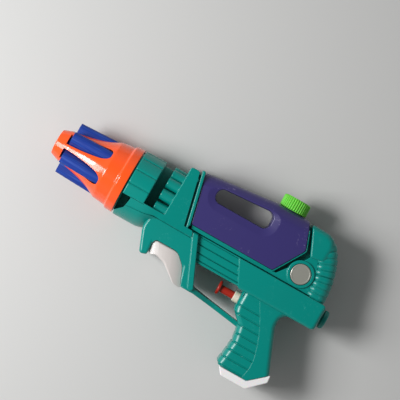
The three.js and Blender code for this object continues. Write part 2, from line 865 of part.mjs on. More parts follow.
// The hollow inside the casing.
function casingHollow() {
  const boreFront = coneLength - spigotLength - 1;
  const innerBarrel = spigotRadius - wall;
  const back = bracketBackAt(0);
  return join([
    rodX(0, innerBarrel, boreFront, hoodBack - wall),
    bar(ellipsePoints(coreHalfWidth - wall, coreHalfHeight - wall), hoodBack - 2 * wall, back - wall),
    bar(troughSection(barrelRadius - wall, deckLevel - wall), hoodFront + mouthLength + wall, bracketFront + wall),
    slab(inset(foregripCorners, wall), foregripHalf - wall)
      .subtract(slab(inset(notchCorners, -wall), bracketHalf)),
    block(bracketFront, gripFront + wall, handguardBottom + wall, bodyTop - wall,
      ridgeDepth + wall - handguardHalf, handguardHalf - ridgeDepth - wall),
    slab(inset(receiverCorners, wall), receiverHalf - wall),
    slab(inset(gripCorners, wall), gripHalf - wall, gripEdge - wall)
      .subtract(slab(inset(underfootCorners, -wall), bracketHalf))
      .subtract(block(gripFront, receiverBack, receiverBottom - wall, 0, -gripHalf, gripHalf)),
    block(gripFront + wall, gripBack - wall, receiverBottom - 2 * wall, receiverBottom + 2 * wall,
      wall - gripHalf, gripHalf - wall),
    slab(inset(strapCorners, wall), strapHalf - strapCrown),
    slab(inset(webCorners, wall), bossHalf - discThickness - fit - wall),
    tailHose(hoseRadius - wall, 0),
  ]).subtract(join(troughMouths(wall)));
}

// The dark, slanted mouths at the front of the trough, one on each side, grown by a wall where they meet the hollow.
function troughMouths(growth) {
  const corners = [
    [hoodFront - fit, deckLevel - panelGroove],
    [hoodFront + mouthLength, deckLevel - panelGroove],
    [hoodFront + mouthLength - 1.6, deckLevel - mouthHeight + mouthSlant],
    [hoodFront - fit, deckLevel - mouthHeight],
  ];
  const points = outline(inset(corners, -growth));
  const depth = barrelRadius - mouthDepth - growth;
  return [plate(points, depth, barrelRadius), plate(points, -barrelRadius, -depth)];
}

const troughScrewLevel = deckLevel - 9;
const screwPlaces = [
  { x: bracketFront + bracketWidth * 0.82, y: bracketTop - 7.4, half: bracketHalf },
  { x: hoodBack - 4, y: troughScrewLevel, half: Math.sqrt(barrelRadius ** 2 - (troughScrewLevel - 4) ** 2) },
  { x: notchFront - 3.4, y: notchTop + 5.4, half: foregripHalf },
  { x: (postFrontAt(postBottom + 15) + postBackAt(postBottom + 15)) / 2, y: postBottom + 15, half: foregripHalf },
  { x: receiverBack - 13, y: bodyTop - receiverHeight * 0.42, half: receiverHalf },
  { x: (footFront + heelX) / 2 - 4, y: footLevel + 17, half: gripHalf },
  { x: strapFront + strapLength * 0.76, y: strapTop - 10, half: strapHalf },
];

const screwSeat = (place) => place.half - screwSink - screwHeadHeight;

// A screw from its head on the right side to its tip in the left half, grown by a clearance.
function screwGeometry(place, clearance) {
  const seat = -screwSeat(place) - clearance;
  const head = seat - screwHeadHeight - clearance;
  const top = clearance > 0 ? -place.half - bracketHalf : head;
  const profile = [
    [top, 0],
    [top, screwHeadRadius + clearance],
    [seat + 2 * clearance, screwHeadRadius + clearance],
    [seat + 2 * clearance, screwShankRadius + clearance],
    [screwGrip + clearance, screwShankRadius + clearance],
    [screwGrip + clearance, 0],
  ];
  return aboutZ(profile, 10).translate(place.x, place.y, 0);
}

// Ribs across the grip that cradle the pump cylinder.
function pumpCradles() {
  const reach = gripHalf - wall / 2;
  return [0.2, 0.55].map((share) => {
    const front = gripFront + wall + pumpLength * share;
    return block(front, front + cradleThickness, pumpLevel - pumpBore - pumpWall - 2,
      receiverBottom + wall, -reach, reach);
  });
}

// Shallow grooves that run round the front of the grip and end along its sides.
function fingerGrooves() {
  const core = slab(inset(gripCorners, gripGrooveDepth), gripHalf - gripGrooveDepth, gripEdge - gripGrooveDepth);
  const bars = Array.from({ length: gripGrooves }, (_, step) => {
    const level = footLevel + gripGrooveFoot + gripGroovePitch * step;
    const end = gripFront + gripGrooveEnd + gripGrooveRake * (throatBottom - level);
    return block(gripFront, end, level, level + gripGrooveHeight, -gripHalf - 1, gripHalf + 1);
  });
  return join(bars).subtract(core);
}

function casing() {
  const form = casingForm();
  const bosses = screwPlaces.map(({ x, y, half }) => rodZ(x, y, screwBossRadius, 0.6 - half, half - 0.6));
  const shell = join([form.subtract(casingHollow()), ...bosses, ...pumpCradles()]);
  const pumpRadius = pumpBore + pumpWall + fit;
  const floor = bossHalf - discThickness - fit;
  return cut(shell, [
    fingerGrooves(),
    ...troughMouths(0),
    ...screwPlaces.map((place) => solid(screwGeometry(place, fit))),
    rodX(pumpLevel, bushRadius + fit, gripFront - 2, gripFront + wall + 1),
    rodX(pumpLevel, pumpRadius, gripFront + wall, gripBack - wall),
    rodX(plugLevel, plugNeckRadius + fit, receiverBack - 3 * wall, receiverBack + 1),
    rodY((footFront + footBack) / 2, 0, basePegRadius + fit, footLevel - 1, footLevel + 2 * wall),
    rodZ(discX, discLevel, discRadius + fit, floor, bossHalf + 1),
    rodZ(discX, discLevel, discRadius + fit, -bossHalf - 1, -floor),
    tankTongue(fit),
    rodY(spoutX, valveSpread, nippleRadius + fit + tubeWall + fit, bodyTop - 3 * wall, tankFloor),
    slab(inset(tankCorners, -fit), bracketHalf + 2),
  ]);
}

function casingHalf(side) {
  const reach = 2 * barrelRadius;
  const low = side > 0 ? fit / 2 : -reach;
  const high = side > 0 ? reach : -fit / 2;
  return geometryOf(casing().intersect(block(-reach, receiverBack + reach, -3 * reach, 2 * reach, low, high)));
}

// Water tank

const spoutX = tankFront + tankFloorLength - 9;

// The T-shaped tongue under the tank that the rail's slot holds.
function tankTongue(clearance) {
  const front = tankFront + tongueSetback - clearance;
  const back = tankFront + tongueSetback + tongueLength + clearance;
  const bottom = tankFloor - tongueDepth - clearance;
  const shoulder = bottom + 2 * clearance + tankWall;
  const half = tongueHalf + clearance;
  const flange = tongueHalf + tongueFlange + clearance;
  return block(front, back, bottom, tankFloor + tankWall / 2, -half, half)
    .add(block(front, back, bottom, shoulder, -flange, flange));
}

function tankGeometry() {
  const handle = outline(handleCorners);
  const form = join([
    slab(tankCorners, tankHalf, tankEdge).intersect(slab(crownCorners, tankHalf, tankCrown)),
    rodY(neckX, 0, neckRadius, tankTop - tankWall, tankTop + neckHeight),
    rodY(spoutX, valveSpread, nippleRadius, tankFloor - railHeight - nippleLength, tankFloor + tankWall / 2),
    tankTongue(0),
  ]);
  const dish = outline(inset(handleCorners, -dishMargin));
  const hollow = slab(inset(tankCorners, tankWall), tankHalf - tankWall)
    .intersect(slab(inset(crownCorners, tankWall), tankHalf - tankWall, tankCrown - tankWall))
    .subtract(slab(inset(handleCorners, -tankWall), tankHalf))
    .subtract(plate(outline(inset(handleCorners, -dishMargin - tankWall)), tankHalf - dishDepth - tankWall, tankHalf))
    .subtract(plate(outline(inset(handleCorners, -dishMargin - tankWall)), -tankHalf, dishDepth + tankWall - tankHalf));
  return geometryOf(cut(form, [
    hollow,
    plate(handle, -tankHalf - 1, tankHalf + 1),
    plate(dish, tankHalf - dishDepth, tankHalf + dishMargin, dishDepth),
    plate(dish, -tankHalf - dishMargin, dishDepth - tankHalf, dishDepth),
    rodY(neckX, 0, neckBore, tankTop - 2 * tankWall, tankTop + neckHeight + 1),
    rodY(spoutX, valveSpread, valvePort, tankFloor - railHeight - nippleLength - 1, tankFloor + 2 * tankWall),
  ]));
}

const capFoot = fit;
const sealLevel = neckHeight + fit;

// The cap stands on the tank's top, in its own frame: y up from the tank top on the neck's axis.
function capGeometry() {
  const points = [];
  for (let step = 0; step < capRibs * 2; step += 1) {
    const angle = Math.PI * step / capRibs;
    const radius = capRadius - (step % 2) * capRibDepth;
    points.push(new THREE.Vector2(radius * Math.cos(angle), radius * Math.sin(angle)));
  }
  const body = plate(points, capFoot, capFoot + capHeight);
  const bore = aboutZ([
    [capFoot - 1, 0],
    [capFoot - 1, neckRadius + fit],
    [sealLevel + sealThickness + fit, neckRadius + fit],
    [sealLevel + sealThickness + fit, 0],
  ]);
  const geometry = geometryOf(body.subtract(solid(bore)));
  return geometry.rotateX(-Math.PI / 2);
}

function sealGeometry() {
  const low = sealLevel;
  const high = sealLevel + sealThickness;
  return turned([[low, 0], [low, neckRadius], [high, neckRadius], [high, 0]], 24);
}

// Trigger plunger and pump, in the pump's frame: x back from the front of the grip, on the pump's axis.

const bushBack = wall + fit + bushFlange;
const cylinderFront = bushBack + fit;
const cylinderBack = cylinderFront + pumpLength;
const boreBack = cylinderBack - pumpEndWall;
const pistonFront = cylinderFront + 1.6;
const pistonBack = pistonFront + pistonLength;

function plungerGeometry() {
  const front = -plungerReach;
  const flangeBack = front + flangeThickness;
  const grooveFront = (pistonFront + pistonBack) / 2 - sealSection - fit;
  const grooveBack = (pistonFront + pistonBack) / 2 + sealSection + fit;
  return aboutX([
    [front, 0],
    [front, flangeRadius - 0.6],
    [front + 0.6, flangeRadius],
    [flangeBack - 0.6, flangeRadius],
    [flangeBack, flangeRadius - 0.6],
    [flangeBack, shaftRadius],
    [pistonFront, shaftRadius],
    [pistonFront, pistonRadius],
    [grooveFront, pistonRadius],
    [grooveFront, grooveRadius],
    [grooveBack, grooveRadius],
    [grooveBack, pistonRadius],
    [pistonBack, pistonRadius],
    [pistonBack, 0],
  ], 18);
}

function pistonSealGeometry() {
  const middle = grooveRadius + fit / 2 + sealSection;
  const section = Array.from({ length: 7 }, (_, step) => {
    const angle = 2 * Math.PI * (step % 6) / 6;
    return [-sealSection * Math.sin(angle), middle - sealSection * Math.cos(angle)];
  });
  return aboutX(section, 16).translate((pistonFront + pistonBack) / 2, 0, 0);
}

function bushGeometry() {
  const bore = shaftRadius + fit;
  const flange = pumpBore + pumpWall;
  const plug = pumpBore - fit;
  return aboutX([
    [-bushReach, bore],
    [-bushReach, bushRadius],
    [wall + fit, bushRadius],
    [wall + fit, flange],
    [bushBack, flange],
    [bushBack, plug],
    [bushBack + 1.2, plug],
    [bushBack + 1.2, bore],
    [-bushReach, bore],
  ], 24);
}

const valveX = boreBack - valveBlockLength / 2;
const valveFloor = pumpBore + 0.6;
const valveRoof = valveFloor + valveHeight;
const blockTop = valveRoof + 1.4;

function cylinderGeometry() {
  const radius = pumpBore + pumpWall;
  const tube = aboutX([[cylinderFront, 0], [cylinderFront, radius], [cylinderBack, radius], [cylinderBack, 0]], 24);
  const nipples = [-1, 1].map((side) => rodY(valveX, side * valveSpread, nippleRadius, valveRoof, blockTop + nippleLength));
  const half = valveBlockLength / 2;
  const body = join([
    solid(tube),
    block(valveX - half, valveX + half, 0, blockTop, -valveBlockHalf, valveBlockHalf),
    ...nipples,
  ]);
  const bores = [-1, 1].flatMap((side) => [
    rodY(valveX, side * valveSpread, valveBore, valveFloor, valveRoof),
    rodY(valveX, side * valveSpread, valvePort, 0, blockTop + nippleLength + 1),
  ]);
  return geometryOf(cut(body, [rodX(0, pumpBore, cylinderFront - 1, boreBack), ...bores]));
}

// A compression spring, one unbroken wire of five sides with eight steps a turn.
function springGeometry() {
  const front = pistonBack + fit + wireRadius;
  const back = boreBack - fit - wireRadius;
  const steps = springTurns * 8;
  const rings = Array.from({ length: steps + 1 }, (_, step) => {
    const angle = 2 * Math.PI * step / 8;
    const along = front + (back - front) * step / steps;
    return Array.from({ length: 5 }, (_unused, side) => {
      const turn = 2 * Math.PI * side / 5;
      const radius = springRadius + wireRadius * Math.cos(turn);
      return new THREE.Vector3(along - wireRadius * Math.sin(turn), radius * Math.cos(angle), radius * Math.sin(angle));
    });
  });
  let gap = Infinity;
  for (let first = 0; first + 8 < rings.length; first += 1) {
    for (const point of rings[first]) {
      for (const other of rings[first + 8]) gap = Math.min(gap, point.distanceTo(other));
    }
  }
  console.log(`return spring: least gap between turns ${gap.toFixed(2)} mm`);
  return skin(rings);
}

const ballGeometry = () => new THREE.SphereGeometry(ballRadius, 10, 6);

// Rear plug, discs, insert and base

function plugGeometry() {
  const inner = -wall - fit;
  const head = plugNeckLength + plugHeadLength;
  return aboutX([
    [inner - wall, 0],
    [inner - wall, plugFlangeRadius],
    [inner, plugFlangeRadius],
    [inner, plugNeckRadius],
    [plugNeckLength, plugNeckRadius],
    [plugNeckLength, plugRadius],
    [head - plugEdge, plugRadius],
    [head - plugEdge * 0.3, plugRadius - plugEdge * 0.4],
    [head, plugRadius - plugEdge * 1.4],
    [head, 0],
  ], 18);
}

function discGeometry() {
  const rim = 0.8;
  return aboutZ([
    [0, 0],
    [0, discRadius],
    [discThickness - rim, discRadius],
    [discThickness, discRadius - rim],
    [discThickness, 0],
  ], 28);
}

const insertGeometry = () => geometryOf(slab(inset(insertCorners, fit), insertHalf, insertEdge));

function baseGeometry() {
  const under = -baseThickness;
  const corners = [
    [footFront, footLevel - fit, 0.6],
    [footBack + 0.2, footLevel - fit],
    [heelX + 0.6, heelLevel - fit, 0.6],
    [heelX + 1, heelLevel - fit + under * 0.9, 1],
    [footBack + 1.6, footLevel - fit + under, 2],
    [footFront + 4, footLevel - fit + under, 1],
  ];
  const peg = rodY((footFront + footBack) / 2, 0, basePegRadius, footLevel - wall, footLevel + basePegLength);
  return geometryOf(slab(corners, gripHalf - 1.4, 0.6).add(peg));
}

// Scene

function piece(name, geometry, color, roughness, metalness = 0) {
  const mesh = new THREE.Mesh(geometry, new THREE.MeshStandardMaterial({ color, roughness, metalness }));
  mesh.name = name;
  return mesh;
}

const teal = 0x0a8c7d;
const orange = 0xff5f23;
const blue = 0x1e4196;
const purple = 0x3c376e;
const lime = 0x6cd25a;
const red = 0xa52d1e;
const white = 0xebe6dc;
const paleGrey = 0xc3beba;
const steel = 0xb4b6b8;

const gun = new THREE.Group();

const nozzle = new THREE.Group();
nozzle.add(piece('nozzle_cone', coneGeometry(), orange, 0.25));
nozzle.add(piece('fin_core', finCoreGeometry(), blue, 0.35));
nozzle.add(piece('nozzle_jet', jetGeometry(), white, 0.4));

const body = new THREE.Group();
body.add(piece('left_casing', casingHalf(1), teal, 0.35));
body.add(piece('right_casing', casingHalf(-1), teal, 0.35));
body.add(piece('foregrip_insert', insertGeometry(), paleGrey, 0.4));
body.add(piece('grip_base', baseGeometry(), white, 0.4));
const plug = piece('rear_plug', plugGeometry(), teal, 0.35);
plug.position.set(receiverBack, plugLevel, 0);
body.add(plug);
const leftDisc = piece('left_disc', discGeometry(), paleGrey, 0.3, 0.6);
leftDisc.position.set(discX, discLevel, bossHalf - discThickness);
const rightDisc = piece('right_disc', discGeometry(), paleGrey, 0.3, 0.6);
rightDisc.position.set(discX, discLevel, discThickness - bossHalf);
rightDisc.rotation.x = Math.PI;
body.add(leftDisc, rightDisc);
screwPlaces.forEach((place, index) => {
  body.add(piece(`casing_screw_${index + 1}`, screwGeometry(place, 0), steel, 0.35, 1));
});

const tank = new THREE.Group();
tank.add(piece('water_tank', tankGeometry(), purple, 0.3));
const cap = new THREE.Group();
cap.position.set(neckX, tankTop, 0);
cap.add(piece('fill_cap', capGeometry(), lime, 0.4));
cap.add(piece('cap_seal', sealGeometry(), white, 0.7));
tank.add(cap);

const pump = new THREE.Group();
pump.position.set(gripFront, pumpLevel, 0);
pump.add(piece('trigger_plunger', plungerGeometry(), red, 0.35));
pump.add(piece('piston_seal', pistonSealGeometry(), 0x202020, 0.8));
pump.add(piece('plunger_bush', bushGeometry(), white, 0.4));
pump.add(piece('pump_cylinder', cylinderGeometry(), white, 0.4));
pump.add(piece('return_spring', springGeometry(), steel, 0.3, 1));
[['inlet_ball', 1], ['outlet_ball', -1]].forEach(([name, side]) => {
  const ball = piece(name, ballGeometry(), steel, 0.2, 1);
  ball.position.set(valveX, valveFloor + ballRadius + fit, side * valveSpread);
  pump.add(ball);
});

// Tubes between the tank, the pump and the jet, sleeved over their nipples
const sleeve = nippleRadius + fit;
const spoutFoot = tankFloor - railHeight;
const pumpPort = [gripFront + valveX, pumpLevel + blockTop + fit];
const runLevel = pumpPort[1] + nippleLength + tubeBend;
const suctionRoute = [
  [spoutX, spoutFoot - fit, valveSpread],
  [spoutX, runLevel, valveSpread],
  [pumpPort[0], runLevel, valveSpread],
  [pumpPort[0], pumpPort[1], valveSpread],
];
const jetBack = noseLength + flareLength + 3 * fit;
const outletRoute = [
  [jetBack, 0, 0],
  [pipeFront, 0, 0],
  [bracketBackAt(deckLevel), runLevel, -valveSpread],
  [pumpPort[0], runLevel, -valveSpread],
  [pumpPort[0], pumpPort[1], -valveSpread],
];
const tubes = new THREE.Group();
tubes.add(piece('suction_tube', tubeAlong(suctionRoute, sleeve), white, 0.5));
tubes.add(piece('outlet_tube', tubeAlong(outletRoute, sleeve), white, 0.5));

gun.add(nozzle, body, tank, pump, tubes);

// The origin is on the floor under the middle of the squirter as it lies.
const reach = new THREE.Box3().setFromObject(gun);
const middle = reach.getCenter(new THREE.Vector3());
gun.position.set(-middle.x, -middle.y, -reach.min.z);

const squirter = new THREE.Group();
squirter.add(gun);

export default squirter;
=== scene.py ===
import math

import bmesh
import bpy
from mathutils import Matrix, Vector


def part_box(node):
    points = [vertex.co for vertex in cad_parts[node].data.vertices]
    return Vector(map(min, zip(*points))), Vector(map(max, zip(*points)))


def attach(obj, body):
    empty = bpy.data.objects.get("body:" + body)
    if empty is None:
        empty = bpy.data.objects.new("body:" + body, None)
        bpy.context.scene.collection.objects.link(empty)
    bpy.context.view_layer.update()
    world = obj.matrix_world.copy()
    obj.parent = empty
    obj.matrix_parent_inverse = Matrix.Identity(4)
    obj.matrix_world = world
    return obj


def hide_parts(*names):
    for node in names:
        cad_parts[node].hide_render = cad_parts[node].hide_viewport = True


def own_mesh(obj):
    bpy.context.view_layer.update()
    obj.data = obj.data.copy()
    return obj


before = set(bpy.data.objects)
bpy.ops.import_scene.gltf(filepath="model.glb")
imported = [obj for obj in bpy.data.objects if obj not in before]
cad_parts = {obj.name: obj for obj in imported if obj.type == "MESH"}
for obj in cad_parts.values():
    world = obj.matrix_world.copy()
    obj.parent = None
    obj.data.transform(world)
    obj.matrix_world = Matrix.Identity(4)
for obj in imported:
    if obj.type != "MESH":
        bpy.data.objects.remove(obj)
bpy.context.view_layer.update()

# Pieces are modelled in millimetres: x back from the muzzle, y up from the barrel axis, z to its left
mm = 0.001
coneLow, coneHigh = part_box("nozzle_cone")
muzzle = Vector((coneLow.x, (coneLow.y + coneHigh.y) / 2, (coneLow.z + coneHigh.z) / 2))
toFrame = Matrix.Translation(muzzle) @ Matrix.Scale(mm, 4)
fit = 0.3
wall = 2.0
clear = 30.0  # half the width of a tool that reaches past the pieces
over = 1.0  # how far a tool stands out of what it cuts


class Sizes(dict):
    # named values, read with a dot
    __getattr__ = dict.__getitem__


smooth = Sizes(arcStep=0.28, leastArc=3, leastRadius=0.02, edgeSteps=6, ellipseSteps=80, segments=128,
               sharpAngle=34.0)


class Wire:
    # a socket of a node tree, with the operators that its values need
    def __init__(self, tree, socket=None):
        self.tree = tree
        self.socket = socket

    def make(self, kind, inputs, output=0, **settings):
        node = self.tree.nodes.new(kind)
        for name, value in settings.items():
            setattr(node, name, value)
        for name, value in inputs.items():
            if isinstance(value, Wire):
                self.tree.links.new(value.socket, node.inputs[name])
            else:
                node.inputs[name].default_value = value
        return Wire(self.tree, node.outputs[output]) if len(node.outputs) else None

    def out(self, output):
        return Wire(self.tree, self.socket.node.outputs[output])

    def vector(self, **parts):
        return self.make("ShaderNodeCombineXYZ", parts)

    def maths(self, operation, first, second=0.0):
        return self.make("ShaderNodeMath", {0: first, 1: second}, operation=operation)

    def above(self, start, gain):
        # how far the value lies above the start, from 0 to 1
        return self.maths("MINIMUM", self.maths("MAXIMUM", (self - start) * gain, 0.0), 1.0)

    def __add__(self, other):
        return self.maths("ADD", self, other)

    def __sub__(self, other):
        return self.maths("SUBTRACT", self, other)

    def __rsub__(self, other):
        return self.maths("SUBTRACT", other, self)

    def __mul__(self, other):
        return self.maths("MULTIPLY", self, other)

    def __pow__(self, other):
        return self.maths("POWER", self, other)

    __radd__ = __add__


def emptyTree(owner):
    owner.use_nodes = True
    owner.node_tree.nodes.clear()
    return Wire(owner.node_tree)


# Outlines and bodies

def turns(last, steps):
    return [last * step / steps for step in range(steps + 1)]


def outline(corners, grow=0.0):
    # corners are (x, y) or (x, y, radius); grow moves every edge outwards
    corners = [tuple(corner) + (0.0,) * (3 - len(corner)) for corner in corners]
    spots = [Vector(corner[:2]) for corner in corners]
    area = sum(a.x * b.y - a.y * b.x for a, b in zip(spots, spots[1:] + spots[:1]))
    turn = 1 if area > 0 else -1
    points = []
    for index, here in enumerate(spots):
        radius = corners[index][2]
        into = (here - spots[index - 1]).normalized()
        onward = (spots[(index + 1) % len(spots)] - here).normalized()
        first = Vector((into.y, -into.x)) * turn
        second = Vector((onward.y, -onward.x)) * turn
        if radius == 0:
            points.append(here + (first + second) * (grow / (1 + first.dot(second))))
            continue
        bend = into.x * onward.y - into.y * onward.x
        side = 1 if bend * turn > 0 else -1
        sweep = math.atan2(bend, into.dot(onward))
        centre = here - (first + second) * (side * radius / (1 + first.dot(second)))
        size = max(radius + side * grow, smooth.leastRadius)
        steps = max(smooth.leastArc, math.ceil(abs(sweep) * math.sqrt(radius) / smooth.arcStep))
        for angle in turns(sweep, steps):
            reach = Vector((first.x * math.cos(angle) - first.y * math.sin(angle),
                            first.x * math.sin(angle) + first.y * math.cos(angle)))
            points.append(centre + reach * (side * size))
    return points if turn > 0 else points[::-1]


def roundedEnd(end, radius, edge, steps, last=math.pi / 2):
    # (along, radius) points of a turned body's rounded edge
    return [(end - edge * (1 - math.sin(turn)), radius - edge * (1 - math.cos(turn)))
            for turn in turns(last, steps)]


def addObject(name, data):
    body = bpy.data.objects.new(name, data)
    bpy.context.scene.collection.objects.link(body)
    return body


def addBody(name, points, faces):
    mesh = bpy.data.meshes.new(name)
    mesh.from_pydata([tuple(point) for point in points], [], faces)
    mesh.update()
    return addObject(name, mesh)


def skin(name, rings):
    count = len(rings[0])
    faces = []
    for row in range(len(rings) - 1):
        low, high = row * count, (row + 1) * count
        for side in range(count):
            after = (side + 1) % count
            faces.append((low + side, low + after, high + after, high + side))
    faces.append(tuple(reversed(range(count))))
    faces.append(tuple(range((len(rings) - 1) * count, len(rings) * count)))
    return addBody(name, [point for ring in rings for point in ring], faces)


def edgeRows(low, high, edge):
    # levels and the inset of the outline at each, for an edge rounded at both ends
    if edge == 0:
        return [(low, 0.0), (high, 0.0)]
    rise = [(edge * (1 - math.cos(turn)), -edge * (1 - math.sin(turn)))
            for turn in turns(math.pi / 2, smooth.edgeSteps)]
    return [(low + up, inset) for up, inset in rise] + [(high - up, inset) for up, inset in reversed(rise)]


def plate(name, corners, low, high, edge=0.0, grow=0.0):
    return skin(name, [[(x, y, level) for x, y in outline(corners, grow + inset)]
                       for level, inset in edgeRows(low, high, edge)])


def slab(name, corners, half, edge=0.0, grow=0.0):
    return plate(name, corners, -half, half, edge, grow)


def pairOf(name, corners, low, high, grow=0.0):
    # the same plate on both sides
    return [plate(name, corners, low, high, 0.0, grow), plate(name, corners, -high, -low, 0.0, grow)]


def bar(name, section, front, back, edge=0.0):
    # section(inset) gives (y, z) points, turning from y towards z
    return skin(name, [[(x, y, z) for y, z in section(inset)] for x, inset in edgeRows(front, back, edge)])


def fromAbove(name, side, lowY, highY):
    # a plate seen from above the squirter; side holds the (x, z) corners of its left edge
    corners = [(x, -z, *radius) for x, z, *radius in side] + side[::-1]
    return turnMesh(plate(name, corners, -highY, -lowY), Matrix.Rotation(math.pi / 2, 4, "X"))


def block(name, lowX, highX, lowY, highY, lowZ, highZ):
    return plate(name, [(lowX, lowY), (highX, lowY), (highX, highY), (lowX, highY)], lowZ, highZ)


def turned(name, profile, axis="x", at=(0.0, 0.0, 0.0), segments=smooth.segments):
    # profile holds (along, radius) pairs and starts and ends on the axis, or ends where it starts
    along, across, up = {"x": (0, 1, 2), "y": (1, 2, 0), "z": (2, 0, 1)}[axis]
    closed = tuple(profile[0]) == tuple(profile[-1])
    points, rows, faces = [], [], []
    for station, radius in profile[:-1] if closed else profile:
        row = []
        for side in range(segments if radius else 1):
            angle = 2 * math.pi * side / segments
            point = list(at)
            point[along] += station
            point[across] += radius * math.cos(angle)
            point[up] += radius * math.sin(angle)
            row.append(len(points))
            points.append(point)
        rows.append(row)
    if closed:
        rows.append(rows[0])
    for low, high in zip(rows, rows[1:]):
        for side in range(segments):
            after = (side + 1) % segments
            corners = (low[side % len(low)], low[after % len(low)],
                       high[after % len(high)], high[side % len(high)])
            faces.append(tuple(dict.fromkeys(corners)))
    return addBody(name, points, faces)


def rod(name, axis, radius, low, high, at=(0.0, 0.0, 0.0), segments=64, edge=0.0):
    side = [(level, radius + inset) for level, inset in edgeRows(low, high, edge)]
    return turned(name, [(low, 0.0), *side, (high, 0.0)], axis, at, segments)


def ringProfile(corners):
    # the outline the other way round, so that the turned faces look outwards
    points = [tuple(point) for point in outline(corners)][::-1]
    return points + points[:1]


def settle(body):
    # the evaluated result becomes the body's plain mesh
    result = bpy.data.meshes.new_from_object(body.evaluated_get(bpy.context.evaluated_depsgraph_get()))
    body.modifiers.clear()
    old, body.data = body.data, result
    bpy.data.meshes.remove(old)
    return body


def combine(body, tools, operation):
    for tool in tools:
        step = body.modifiers.new(tool.name, "BOOLEAN")
        step.operation = operation
        step.solver = "MANIFOLD"
        step.object = tool
    settle(body)
    for tool in tools:
        bpy.data.objects.remove(tool)
    return body


def join(bodies):
    return combine(bodies[0], bodies[1:], "UNION")


def cut(body, tools):
    return combine(body, tools, "DIFFERENCE")


def common(body, *tools):
    return combine(body, tools, "INTERSECT")


def turnMesh(body, matrix):
    body.data.transform(matrix)
    return body


# Geometry Nodes for what repeats or follows a path

def growTree(name, sizes, finishName, build, host=None):
    # the tree's named inputs hold the sizes, and build(wire, given) links them up
    sizes = {**sizes, "material": paint[finishName]}
    tree = bpy.data.node_groups.new(name, "GeometryNodeTree")
    for way in ("INPUT", "OUTPUT"):
        tree.interface.new_socket(name="geometry", in_out=way, socket_type="NodeSocketGeometry")
    kinds = {int: "NodeSocketInt", float: "NodeSocketFloat", bpy.types.Object: "NodeSocketObject",
             bpy.types.Material: "NodeSocketMaterial"}
    for key, value in sizes.items():
        tree.interface.new_socket(name=key, in_out="INPUT", socket_type=kinds[type(value)])
    wire = Wire(tree)
    entry = wire.make("NodeGroupInput", {}, "geometry")
    given = Sizes({key: entry.out(key) for key in ["geometry", *sizes]})
    whole = wire.make("GeometryNodeRealizeInstances", {"Geometry": build(wire, given)})
    painted = wire.make("GeometryNodeSetMaterial", {"Geometry": whole, "Material": given.material})
    wire.make("NodeGroupOutput", {"geometry": painted})
    body = host or addBody(name, [(0.0, 0.0, 0.0)], [])
    step = body.modifiers.new(name, "NODES")
    step.node_group = tree
    for item in tree.interface.items_tree:
        if item.in_out == "INPUT" and item.name in sizes:
            step[item.identifier] = sizes[item.name]
    settle(body)
    for value in sizes.values():
        if isinstance(value, bpy.types.Object):
            bpy.data.objects.remove(value)
    loose = bmesh.new()
    loose.from_mesh(body.data)
    bmesh.ops.delete(loose, geom=[spot for spot in loose.verts if not spot.link_faces], context="VERTS")
    bmesh.ops.recalc_face_normals(loose, faces=loose.faces)
    loose.to_mesh(body.data)
    loose.free()
    return body


def copies(wire, points, template, turn):
    shape = wire.make("GeometryNodeObjectInfo", {"Object": template}, "Geometry")
    return wire.make("GeometryNodeInstanceOnPoints", {"Points": points, "Instance": shape, "Rotation": turn})


def repeatRound(name, template, finishName, count, first, step, high=0.0, wide=0.0, follow=0.0):
    # copies of the template about the x axis, on an ellipse, turned with it where follow is 1
    sizes = dict(template=template, count=count, first=first, step=step, high=high, wide=wide, follow=follow)

    def build(wire, given):
        angle = given.first + given.step * wire.make("GeometryNodeInputIndex", {})
        place = wire.vector(Y=given.high * wire.maths("COSINE", angle),
                            Z=given.wide * wire.maths("SINE", angle))
        points = wire.make("GeometryNodePoints", {"Count": given.count, "Position": place})
        return copies(wire, points, given.template, wire.vector(X=angle * given.follow))

    return growTree(name, sizes, finishName, build)


# Finishes

surface = Sizes(
    bevelSamples=6, rimGain=6.0, wearFrom=0.42, wearGain=5.0, wearDull=0.12,
    streak=1100.0, streakStretch=(0.04, 1.0, 1.0), streakFrom=0.5, streakGain=5.0,
    patch=43.0, patchFrom=0.52, patchGain=9.0, speck=480.0, speckWarp=1.2, speckFrom=0.62, speckGain=12.0,
    sinkDepth=0.4, grainDepth=0.05, scatter=0.8, refraction=1.5,
)


def linear(red, green, blue):
    # a screen colour from 0 to 255 as the shader's own numbers
    def one(value):
        value /= 255
        return value / 12.92 if value <= 0.04045 else ((value + 0.055) / 1.055) ** 2.4
    return (one(red), one(green), one(blue), 1.0)


def look(colour, deep, pale, **changes):
    values = Sizes(
        colour=linear(*colour), deep=linear(*deep), pale=linear(*pale), cloud=38.0, cloudShare=0.5,
        grain=2600.0, grainShare=0.08, sink=55.0, sinkShare=0.12, scuff=260.0, edge=0.5, wear=0.35, nick=0.25,
        streak=0.0, roughness=0.3, dullness=0.12, specular=0.5, metallic=0.0, coat=0.0, coatRoughness=0.1,
        depth=0.0,
    )
    values.update(changes)
    return values


